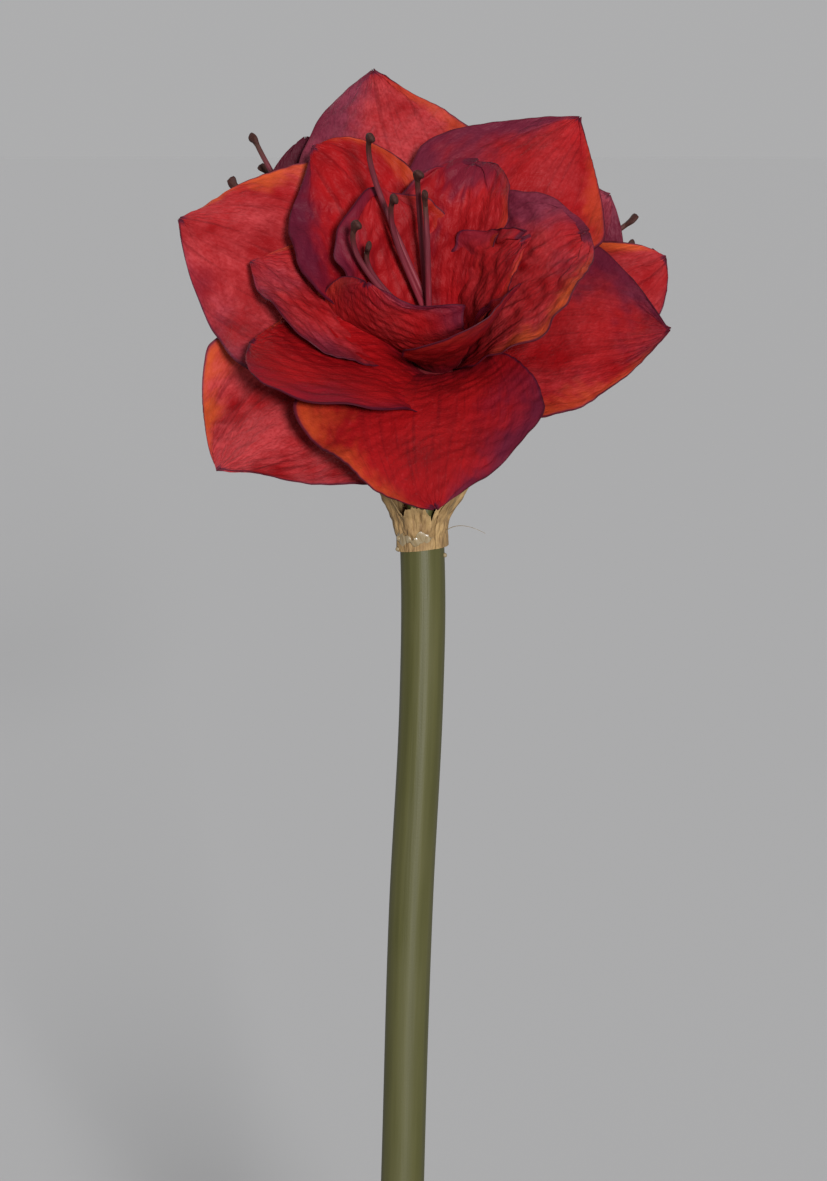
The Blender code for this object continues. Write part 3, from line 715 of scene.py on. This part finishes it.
def paint_petals(tree, shader):
    """Red satin with pressed grain and veins, orange and plum along the rims, a painted pinkish sheen
    with painted glints, and painted shade along the edges.
    """
    place = attribute(tree, "cloth").outputs["Vector"]
    dye = attribute(tree, "dye")
    parts = add(tree, "SeparateColor", {0: dye.outputs["Color"]})
    orange, plum, pale = (parts.outputs[i] for i in range(3))
    mottle = spread(tree, grain(tree, place, 20.0), 0.3, 0.7)
    fleck = grain(tree, place, 1.2, (1.0, 0.65, 1.0), 2.5)
    veins = grain(tree, place, 2.6, (1.0, 0.05, 1.0), 2.0)
    weave = grain(tree, place, 0.6, detail=1.0)
    grainy = spread(tree, fleck, 0.32, 0.68, 0.55, 1.3)
    colour = mixed(tree, mottle, DEEP_RED, BRIGHT_RED)
    # painted sheen: pinkish highlight mixed in by the petal's sheen share
    colour = mixed(tree, maths(tree, "MULTIPLY", pale, grainy), colour, PAINTED_SHEEN_PINK)
    lines = spread(tree, veins, 0.52, 0.68, 0.0, 0.4)
    colour = mixed(tree, lines, colour, DARK_RED)
    # painted glints: small pink flecks of sheen painted into the colour
    specks = spread(tree, fleck, 0.6, 0.75, 0.0, 0.22)
    colour = mixed(tree, specks, colour, PAINTED_SHEEN_PINK)
    streak = spread(tree, veins, 0.3, 0.6, 1.0, 0.8)
    colour = mixed(tree, maths(tree, "MULTIPLY", orange, streak), colour, ORANGE)
    # plum with painted sheen where the petal's sheen share is set
    lit_plum = mixed(tree, maths(tree, "MULTIPLY", pale, grainy), PLUM, PAINTED_SHEEN_MAUVE)
    plum_share = spread(tree, plum, 0.0, 1.0)
    colour = mixed(tree, maths(tree, "MULTIPLY", plum_share, 0.9), colour, lit_plum)
    # painted shade along the rims
    colour = mixed(tree, spread(tree, plum, 1.0, 2.0, 0.0, 0.6), colour, PAINTED_RIM_SHADE)
    throat = spread(tree, dye.outputs["Alpha"], 0.0, 0.3, 0.6, 0.0)
    colour = mixed(tree, throat, colour, PLUM)
    tree.links.new(colour, shader.inputs["Base Color"])
    tree.links.new(spread(tree, fleck, 0.3, 0.7, 0.62, 0.5), shader.inputs["Roughness"])
    open_part = spread(tree, dye.outputs["Alpha"], 0.05, 0.35, 0.1, 1.0)
    fleck, veins = (maths(tree, "MULTIPLY", height, open_part) for height in (fleck, veins))
    bumps(tree, shader, ((veins, 0.0004), (fleck, 0.0004), (weave, 0.0001)))


def paint_filaments(tree, shader):
    """Crimson at the foot, maroon above and brown at the top, with faint lengthwise lines."""
    place = attribute(tree, "cloth").outputs["Vector"]
    along = attribute(tree, "dye").outputs["Alpha"]
    lines = grain(tree, place, 0.9, (1.0, 0.1, 1.0))
    colour = mixed(tree, spread(tree, along, 0.1, 0.7), FILAMENT_FOOT, FILAMENT_TOP)
    colour = mixed(tree, spread(tree, along, 0.86, 1.0), colour, FILAMENT_TIP)
    colour = mixed(tree, spread(tree, lines, 0.5, 0.8, 0.0, 0.5), colour, FILAMENT_LINE)
    tree.links.new(colour, shader.inputs["Base Color"])
    bumps(tree, shader, ((lines, 0.0002),))


def paint_anthers(tree, shader):
    """Dark reddish brown and powdery."""
    place = attribute(tree, "cloth").outputs["Vector"]
    patches = grain(tree, place, 2.2)
    powder = grain(tree, place, 0.35)
    colour = mixed(tree, spread(tree, patches, 0.35, 0.65), ANTHER_DARK, ANTHER_BROWN)
    colour = mixed(tree, spread(tree, powder, 0.55, 0.7, 0.0, 0.5), colour, POLLEN)
    tree.links.new(colour, shader.inputs["Base Color"])
    bumps(tree, shader, ((patches, 0.0004), (powder, 0.00015)))


def paint_tube(tree, shader):
    """Dark red, greener towards the foot, with lengthwise ribs of colour."""
    place = attribute(tree, "cloth").outputs["Vector"]
    along = attribute(tree, "dye").outputs["Alpha"]
    lines = grain(tree, place, 1.6, (1.0, 0.12, 1.0))
    colour = mixed(tree, spread(tree, along, 0.15, 0.75), TUBE_GREEN, TUBE_RED)
    colour = mixed(tree, spread(tree, lines, 0.45, 0.7, 0.0, 0.5), colour, TUBE_RIB)
    tree.links.new(colour, shader.inputs["Base Color"])
    bumps(tree, shader, ((lines, 0.0003),))


def paint_stem(tree, shader):
    """Olive green with faint lengthwise streaks, pale bloom and tiny specks."""
    place = attribute(tree, "cloth").outputs["Vector"]
    streaks = grain(tree, place, 3.0, (1.0, 0.03, 1.0), 4.0)
    clouds = grain(tree, place, 26.0, (1.0, 0.4, 1.0))
    specks = grain(tree, place, 0.8)
    colour = mixed(tree, spread(tree, streaks, 0.35, 0.65), OLIVE, OLIVE_STREAK)
    colour = mixed(tree, spread(tree, clouds, 0.4, 0.7, 0.0, 0.45), colour, OLIVE_CLOUD)
    colour = mixed(tree, spread(tree, specks, 0.68, 0.78, 0.0, 0.5), colour, OLIVE_SPECK)
    tree.links.new(colour, shader.inputs["Base Color"])
    tree.links.new(spread(tree, clouds, 0.3, 0.7, 0.48, 0.58), shader.inputs["Roughness"])
    bumps(tree, shader, ((streaks, 0.0003), (specks, 0.00004)))


def paint_spathe(tree, shader):
    """Dry golden brown paper with blotches and darker creases and fibres, paler at its upper edge."""
    place = attribute(tree, "cloth").outputs["Vector"]
    along = attribute(tree, "dye").outputs["Alpha"]
    fibres = grain(tree, place, 1.1, (1.0, 0.1, 1.0), 4.0)
    blotches = grain(tree, place, 7.0, (1.0, 0.5, 1.0), 3.0)
    crumple = grain(tree, place, 2.6, (1.0, 0.5, 1.0), 3.0)
    colour = mixed(tree, spread(tree, blotches, 0.35, 0.65), PAPER_BROWN, PAPER_GOLD)
    colour = mixed(tree, spread(tree, crumple, 0.52, 0.68, 0.0, 0.6), colour, PAPER_CREASE)
    colour = mixed(tree, spread(tree, fibres, 0.5, 0.72, 0.0, 0.6), colour, PAPER_FIBRE)
    colour = mixed(tree, spread(tree, along, 0.75, 1.0, 0.0, 0.3), colour, PAPER_PALE)
    tree.links.new(colour, shader.inputs["Base Color"])
    bumps(tree, shader, ((crumple, 0.0012), (fibres, 0.0004)))


def paint_glue(tree, shader):
    """Cloudy clear glue."""
    place = attribute(tree, "cloth").outputs["Vector"]
    clouds = grain(tree, place, 1.6)
    colour = mixed(tree, spread(tree, clouds, 0.35, 0.65), GLUE_BROWN, GLUE_PALE)
    tree.links.new(colour, shader.inputs["Base Color"])
    bumps(tree, shader, ((clouds, 0.0005),))


def paint_vase(tree, shader):
    """Pale warm grey matt glaze with iron specks, bare clay at the foot."""
    place = add(tree, "TexCoord").outputs["Object"]
    clouds = grain(tree, place, 0.035, detail=4.0)
    specks = grain(tree, place, 0.0016, detail=1.0)
    pits = grain(tree, place, 0.0008)
    height = add(tree, "SeparateXYZ", {0: place}).outputs[2]
    colour = mixed(tree, spread(tree, clouds, 0.35, 0.65), GLAZE_GREY, GLAZE_PALE)
    colour = mixed(tree, spread(tree, specks, 0.7, 0.74, 0.0, 0.75), colour, IRON_SPECK)
    edge = maths(tree, "ADD", height, maths(tree, "MULTIPLY", clouds, 0.004))
    clay = spread(tree, edge, 0.0072, 0.0078, 1.0, 0.0)
    colour = mixed(tree, clay, colour, BARE_CLAY)
    tree.links.new(colour, shader.inputs["Base Color"])
    tree.links.new(spread(tree, clay, 0.0, 1.0, 0.42, 0.85), shader.inputs["Roughness"])
    bumps(tree, shader, ((clouds, 0.001), (pits, 0.00015)))


def half_open(sepals, petals, turn, seed, shown):
    """A half-open bloom: six outer petals with their tips as given, and two whorls within."""
    draw = random.Random(seed)
    made = []
    for whorl, tips in ((SEPALS, sepals), (PETALS, petals)):
        for azimuth, reach, rise in tips:
            shoulder = (draw.uniform(-6, 6), 0.9, 0.8)
            petal = Petal(azimuth, reach, rise, HALF_OPEN_WIDTH, shoulder, keel=0.15, point=0.5)
            made.append((whorl, petal))
    for whorl, count, reach, rise, width in HALF_OPEN_WHORLS:
        for i in range(count):
            petal = Petal(
                turn + 360 * (i + 0.5) / count + draw.uniform(-5, 5),
                reach * draw.uniform(0.92, 1.08),
                rise * draw.uniform(0.95, 1.02),
                width * draw.uniform(0.92, 1.08),
                shoulder=(draw.uniform(-8, 8), 0.9, 0.8),
                point=0.2,
                ruffle=1.2,
            )
            made.append((whorl, petal))
    looks = [any_look(draw) for _ in made]
    for index, look in shown.items():
        looks[index] = look
    return [(whorl, petal, look) for (whorl, petal), look in zip(made, looks)]


def any_look(draw):
    """The dyes and painted sheen of a petal that doesn't show in front view."""
    orange, plum = draw.uniform(0.4, 1.0), draw.uniform(0.5, 0.9)
    return Look(orange, plum, draw.uniform(0.0, 0.6), draw.uniform(0.2, 0.8), 1.1)


def tube_body(bloom):
    """The tube that the petals grow from, ribbed towards its foot."""
    heights = np.linspace(0, TUBE_LENGTH, 24)
    path = np.stack([0 * heights, 0 * heights, heights], axis=1)
    share = (heights / TUBE_LENGTH)[:, None]
    ribs = 0.25 * np.cos(6 * np.linspace(0, TURN, 48, endpoint=False))
    flare = (TUBE_TOP_RADIUS - TUBE_FOOT_RADIUS) * share**1.15
    radius = TUBE_FOOT_RADIUS + flare + ribs * (1 - share)
    return placed(bloom, sweep(path, radius, radius, 48))


def make_bloom(bloom, petals, outer_grid, inner_grid, seed):
    """A bloom's whorls of petals and its tube."""
    red = surface("red_satin_" + bloom.name, 0.5, paint_petals, SATIN_GLOSS)
    node = "bloom_" + bloom.name
    for whorl in (SEPALS, PETALS, MIDDLE, INNER):
        size = inner_grid if whorl == INNER else outer_grid
        bodies = []
        for index, (ring, petal, look) in enumerate(petals):
            if ring == whorl:
                body = petal_body(petal, look, whorl, size, seed + 7 * index)
                bodies.append(placed(bloom, body))
        piece(f"{bloom.name}_{whorl.name}", bodies, red, node)
    tube_red = surface("tube_" + bloom.name, 0.5, paint_tube)
    piece(bloom.name + "_tube", [tube_body(bloom)], tube_red, node)


def filament(stamen, index, count):
    """Points along a filament, from the hub to its anther, in the bloom's own frame."""
    foot = around(60 * index + 30, FILAMENT_RING, TUBE_LENGTH + GAP + HUB_HEIGHT / 2)
    tip = around(stamen.azimuth, stamen.reach, stamen.rise)
    return bezier(foot, foot + tip / 4, tip * (stamen.bend, stamen.bend, 0.75), tip, count)


def anther(path, facing):
    """A flat fan-shaped anther on the end of a filament, hooked over to one side at its top."""
    count, sides = ANTHER_GRID
    way = unit(path[-1] - path[-2])
    up = np.array([0.0, 0.0, 1.0])
    if abs(way[2]) >= 0.9:
        up = np.array([1.0, 0.0, 0.0])
    out = carried(up, [way])[0]
    angle = math.radians(facing)
    flat = out * math.cos(angle) + np.cross(way, out) * math.sin(angle)
    share = np.linspace(0, 1, count)
    start = path[-1] - way * ANTHER_SUNK
    along = (ANTHER_LENGTH * share)[:, None] * way
    hooked = (ANTHER_HOOK * smooth((share - 0.5) / 0.5) ** 1.5)[:, None] * np.cross(flat, way)
    swell = smooth(share / 0.75)
    end = np.sqrt(np.clip(1 - ((share - 0.86) / 0.14).clip(0, 1) ** 2, 0.0, 1))
    wide = (ANTHER_NECK + ANTHER_SPREAD * swell) * end + SMALL
    thick = (ANTHER_NECK + ANTHER_SWELL * swell) * end + SMALL
    return sweep(start + along + hooked, wide, thick, sides, tuple(flat))


def hub_body():
    """The low round hub that carries the filaments, in the bloom's own frame."""
    share = np.linspace(0, 1, 12)
    path = np.stack([0 * share, 0 * share, TUBE_LENGTH + GAP + HUB_HEIGHT * share], axis=1)
    radius = HUB_RADIUS * np.sqrt(1 - 0.85 * share**3)
    return sweep(path, radius, radius, 36)


def make_stamens(bloom, stamens):
    """The filaments on their low hub, and their anthers."""
    node = "stamens_" + bloom.name
    count, sides = FILAMENT_GRID
    radius = FILAMENT_RADIUS * (1.2 - 0.3 * np.linspace(0, 1, count))
    stalks = [placed(bloom, hub_body())]
    tips = []
    for index, stamen in enumerate(stamens):
        path = filament(stamen, index, count)
        stalks.append(placed(bloom, sweep(path, radius, radius, sides)))
        tips.append(placed(bloom, anther(path, stamen.facing)))
    maroon = surface("maroon_filaments_" + bloom.name, 0.5, paint_filaments, STAMEN_GLOSS)
    brown = surface("anthers_" + bloom.name, 0.7, paint_anthers, STAMEN_GLOSS)
    piece(bloom.name + "_filaments", stalks, maroon, node)
    piece(bloom.name + "_anthers", tips, brown, node)


def smooth_path(knots, count):
    """A smooth path through the knots, as evenly spaced points."""
    knots = np.array(knots)
    heights = knots[:, 2]
    slopes = np.gradient(knots[:, :2], heights, axis=0)
    z = np.linspace(heights[0], heights[-1], 400)
    below = np.clip(np.searchsorted(heights, z) - 1, 0, len(heights) - 2)
    span = (heights[below + 1] - heights[below])[:, None]
    t = (z - heights[below])[:, None] / span
    xy = (2 * t**3 - 3 * t**2 + 1) * knots[below, :2]
    xy = xy + (t**3 - 2 * t**2 + t) * span * slopes[below]
    xy = xy + (3 * t**2 - 2 * t**3) * knots[below + 1, :2]
    xy = xy + (t**3 - t**2) * span * slopes[below + 1]
    return evenly(np.concatenate([xy, z[:, None]], axis=1), count)


def pedicel(bloom, count):
    """Points along a bloom's stalk, from within the scape to within the ovary."""
    throat, axes = frame_of(bloom)
    top = np.array(SCAPE_PATH[-1])
    outward = (throat - top) * (1, 1, 0)
    start = top + PEDICEL_SPREAD * unit(outward) - (0, 0, PEDICEL_SUNK)
    end = throat - OVARY_LENGTH / 2 * axes[2]
    return bezier(start, start + (0, 0, PEDICEL_RISE), end - PEDICEL_REACH * axes[2], end, count)


def scape_body():
    """The thick bare scape, hardly uneven, with softly cut ends."""
    count, sides = SCAPE_GRID
    path = smooth_path(SCAPE_PATH, count)
    height = path[:, 2:]
    angles = np.linspace(0, TURN, sides, endpoint=False)
    wobble = 0.05 * np.sin(height / 23) * np.cos(2 * angles) + 0.03 * np.cos(9 * angles)
    ends = np.clip(np.minimum(height - height[0], height[-1] - height) / 2.0, 0, 1)
    radius = SCAPE_RADIUS - 0.8 * (1 - ends) + wobble
    return sweep(path, radius, radius, sides)


def ovary_body():
    """The three-lobed ovary behind a bloom, in the bloom's own frame."""
    share = np.linspace(0, 1, 30)
    angles = np.linspace(0, TURN, 36, endpoint=False)
    egg = np.sqrt(np.clip(1 - (2 * share - 1) ** 2, 0.0, 1))[:, None]
    radius = OVARY_RADIUS * egg * (1 + 0.09 * np.cos(3 * angles)) + SMALL
    path = np.stack([0 * share, 0 * share, -GAP - OVARY_LENGTH * (1 - share)], axis=1)
    return sweep(path, radius, radius, 36)


def make_stem():
    """The bare scape, and the stalks and ovaries behind the blooms."""
    green = surface("olive_stem", 0.4, paint_stem, STEM_GLOSS)
    piece("scape", [scape_body()], green, "stem")
    count, sides = PEDICEL_GRID
    thick = PEDICEL_RADIUS * (1 + 0.08 * np.sin(9 * np.linspace(0, 1, count)))
    stalks = []
    for bloom in (FRONT, LEFT, RIGHT):
        stalks.append(sweep(pedicel(bloom, count), thick, thick, sides))
        stalks.append(placed(bloom, ovary_body()))
    piece("stalks", stalks, green, "stem")


def paper_radius(angle, height, share, seed):
    """The sheath's distance from its middle: its flare, folds, creases and turned-out edge."""
    arc = angle * 14
    folds = FOLD_DEPTH * np.sin(SPATHE_FOLDS * angle + 0.08 * height) * smooth(height / 20)
    tight = np.clip(np.cos(angle), 0, 1) * np.sin(math.pi * np.clip((height - 4) / 18, 0, 1))
    loose = 0.25 + 0.75 * smooth(height / 12)
    creases = CREASE_DEPTH * (1 - np.abs(hills(arc, height, seed, 7, stretch=3)))
    crinkles = CRINKLE_DEPTH * hills(arc, height, seed + 1, 2.6, stretch=2)
    flare = TORN_FLARE * smooth((share - 0.88) / 0.12) * (0.5 + 0.5 * np.sin(3 * angle + seed))
    radius = np.interp(height, *zip(*SPATHE_RADII)) + folds - TIGHT_SIDE * tight
    return radius + loose * (creases + crinkles) + flare


def paper_body(edge, arc, out, size, seed):
    """A crumpled sheet of the sheath over an arc in degrees, out from the part's own radius."""
    rows, columns = size
    degrees, share = np.meshgrid(np.linspace(*arc, columns + 1), np.linspace(0, 1, rows + 1))
    angle = np.radians(degrees)
    ragged = 0.9 * np.sin(13 * angle + seed) + 0.5 * np.sin(37 * angle) + 0.3 * np.sin(71 * angle)
    height = share * (np.interp(degrees, *zip(*edge)) + ragged)
    radius = paper_radius(angle, height, share, seed) + out
    z = SPATHE_FOOT + height + (FOOT_RISE + FOOT_SLANT * np.cos(angle)) * (1 - share)
    x, y = SPATHE_CENTRE
    grid = np.stack([x + radius * np.cos(angle), y + radius * np.sin(angle), z], axis=-1)
    if arc[1] - arc[0] == 360:
        grid[:, -1] = grid[:, 0]
    cloth = np.stack([angle * 14, height, np.full_like(height, 50.0 * seed)], axis=-1)
    dye = np.stack([0 * share, 0 * share, 0 * share, share], axis=-1)
    return shell(grid, PAPER, cloth, dye)


def make_spathe():
    """The two dry bracts round the foot of the blooms, and the glue that holds them."""
    paper = surface("dry_paper", 0.75, paint_spathe)
    sheath = paper_body(SPATHE_EDGE, (-180, 180), -0.2, SHEATH_GRID, seed=2)
    piece("spathe_sheath", [sheath], paper, "spathe")
    flap = paper_body(FLAP_EDGE, (-58, 75), 0.5, FLAP_GRID, seed=5)
    piece("spathe_flap", [flap], paper, "spathe")
    clear = surface("cloudy_glue", 0.25, paint_glue)
    piece("spathe_glue", [smear_body(), *bead_bodies(), hair_body()], clear, "spathe")


def smear_body():
    """The uneven smear of glue on the sheath's front."""
    x, y = SPATHE_CENTRE
    angle = np.radians(np.linspace(*GLUE_ARC, 110))
    height = SPATHE_FOOT + GLUE_HEIGHT + 0.8 * np.sin(4 * angle) + 0.5 * np.sin(11 * angle)
    radius = GLUE_RADIUS + 0.12 * np.sin(9 * angle)
    band = np.stack([x + radius * np.cos(angle), y + radius * np.sin(angle), height], axis=1)
    ends = smooth(np.minimum(angle - angle[0], angle[-1] - angle) / 0.3)
    wide = (1.9 + 0.7 * np.sin(7 * angle) + 0.5 * np.sin(23 * angle)) * ends + 0.05
    return sweep(band, 0.42 * ends + 0.05, wide, 14, (0.0, 0.0, 1.0))


def bead_bodies():
    """Lumpy beads of glue."""
    draw = np.random.default_rng(12)
    share = np.linspace(0, 1, 12)
    bodies = []
    for degrees, up, size, far in GLUE_BEADS:
        centre = np.array([*SPATHE_CENTRE, SPATHE_FOOT]) + around(degrees, far, up)
        path = centre + (share[:, None] - 0.5) * 2 * size * np.array([0.2, 0.1, 1.0])
        radius = (size * np.sqrt(np.clip(1 - (2 * share - 1) ** 2, 0, 1)) + SMALL)[:, None]
        lumps = 1 + 0.15 * draw.uniform(-1, 1, (12, 1))
        bodies.append(sweep(path, radius * lumps, radius, 14))
    return bodies


def hair_body():
    """The loose hair of glue."""
    thin = np.linspace(0.16, 0.07, 40)
    return sweep(bezier(*np.array(GLUE_HAIR), 40), thin, thin, 6)


def vase_radius(z):
    """The vase's outer radius at a height, as the part has it."""
    belly = FOOT_RADIUS + (BELLY_RADIUS - FOOT_RADIUS) * np.sin(math.pi / 2 * z / BELLY_HEIGHT)
    share = (z - BELLY_HEIGHT) / (NECK_HEIGHT - BELLY_HEIGHT)
    shoulder = NECK_RADIUS + (BELLY_RADIUS - NECK_RADIUS) * (0.5 + 0.5 * np.cos(math.pi * share))
    neck = NECK_RADIUS + (LIP_RADIUS - NECK_RADIUS) * smooth((z - LIP_START) / (VASE_HEIGHT - LIP_START))
    return np.where(z < BELLY_HEIGHT, belly, np.where(z < NECK_HEIGHT, shoulder, neck))


def vase_profile():
    """The vase's section as (radius, height): along its floor, up the inside and down the outside."""
    lip = VASE_WALL / 2
    top = VASE_HEIGHT - lip
    z = np.linspace(1.2, top, 150)
    rings = RING_DEPTH * np.sin(TURN * z / RING_SPACING) * smooth((z - 8) / 10) * smooth((top - z) / 12)
    outside = np.stack([vase_radius(z) + rings, z], axis=1)
    inner_z = np.linspace(VASE_FLOOR, top, 90)
    widening = 0.75 + 0.25 * smooth((inner_z - VASE_FLOOR) / 8)
    inside = np.stack([(vase_radius(inner_z) - VASE_WALL) * widening, inner_z], axis=1)
    turn = np.linspace(0, math.pi, 9)[1:-1]
    edge = np.stack([LIP_RADIUS - lip - lip * np.cos(turn), top + lip * np.sin(turn)], axis=1)
    floor = np.array([[0.5, VASE_FLOOR], [14.0, VASE_FLOOR]])
    return np.concatenate([floor, inside, edge, outside[::-1], np.array(VASE_FOOT)])


def make_vase():
    """The turned bottle vase, with faint throwing rings and a foot ring."""
    profile = vase_profile()
    angles = np.linspace(0, TURN, VASE_SIDES, endpoint=False)
    radius, height = profile[:, :1], profile[:, 1:]
    rings = np.stack([radius * np.cos(angles), radius * np.sin(angles), height + 0 * angles], axis=-1)
    points, faces, cloth, dye = ringed(rings, np.arange(len(profile)) * 1.0, -angles, BELLY_RADIUS)
    faces = [face[::-1] for face in faces]
    glaze = surface("matt_stoneware", 0.42, paint_vase)
    piece("stoneware_vase", [(points, faces, cloth, dye)], glaze, "vase")


def make_stage():
    """A pale floor under an even pale sky, with a soft key light in front and a weak one behind."""
    bpy.ops.mesh.primitive_circle_add(vertices=128, radius=FLOOR_RADIUS, fill_type="NGON")
    floor = bpy.context.object
    floor.name = "floor"
    plain = bpy.data.materials.new("pale_floor")
    plain.use_nodes = True
    shader = plain.node_tree.nodes["Principled BSDF"]
    shader.inputs["Base Color"].default_value = FLOOR_COLOUR
    shader.inputs["Roughness"].default_value = 0.9
    shader.inputs["Specular IOR Level"].default_value = 0.1
    floor.data.materials.append(plain)
    world = bpy.data.worlds.new("pale")
    world.use_nodes = True
    world.node_tree.nodes["Background"].inputs["Color"].default_value = SKY_COLOUR
    bpy.context.scene.world = world
    add_sun("key", KEY_TOWARDS, KEY_STRENGTH, KEY_SOFTNESS)
    add_sun("back", BACK_TOWARDS, BACK_STRENGTH, BACK_SOFTNESS)


def add_sun(name, towards, strength, softness):
    """Parallel light from a direction; softness is its angle in degrees."""
    light = bpy.data.lights.new(name, "SUN")
    light.energy = strength
    light.angle = math.radians(softness)
    obj = bpy.data.objects.new(name, light)
    obj.rotation_euler = Vector(towards).to_track_quat("Z", "Y").to_euler()
    bpy.context.scene.collection.objects.link(obj)


def make_camera():
    """The photograph's view: a little from above, with the vase just below the frame."""
    camera = bpy.data.cameras.new("camera")
    camera.lens = CAMERA_LENS
    camera.sensor_width = CAMERA_SENSOR
    obj = bpy.data.objects.new("camera", camera)
    obj.location = CAMERA_PLACE
    aim = Vector(CAMERA_AIM) - Vector(CAMERA_PLACE)
    obj.rotation_euler = aim.to_track_quat("-Z", "Y").to_euler()
    bpy.context.scene.collection.objects.link(obj)
    bpy.context.scene.camera = obj


def main():
    """Builds the whole scene."""
    bpy.context.scene.view_settings.view_transform = "Standard"
    make_camera()
    make_stage()
    make_vase()
    make_stem()
    make_spathe()
    left = half_open(LEFT_SEPALS, LEFT_PETALS, 20, seed=4, shown=LEFT_SHOWN)
    right = half_open(RIGHT_SEPALS, RIGHT_PETALS, 0, seed=7, shown=RIGHT_SHOWN)
    make_bloom(FRONT, FRONT_PETALS, FRONT_GRID, INNER_GRID, seed=100)
    make_bloom(LEFT, left, BACK_GRID, BACK_GRID, seed=300)
    make_bloom(RIGHT, right, BACK_GRID, BACK_GRID, seed=500)
    make_stamens(FRONT, FRONT_STAMENS)
    make_stamens(LEFT, LEFT_STAMENS)
    make_stamens(RIGHT, RIGHT_STAMENS)


main()
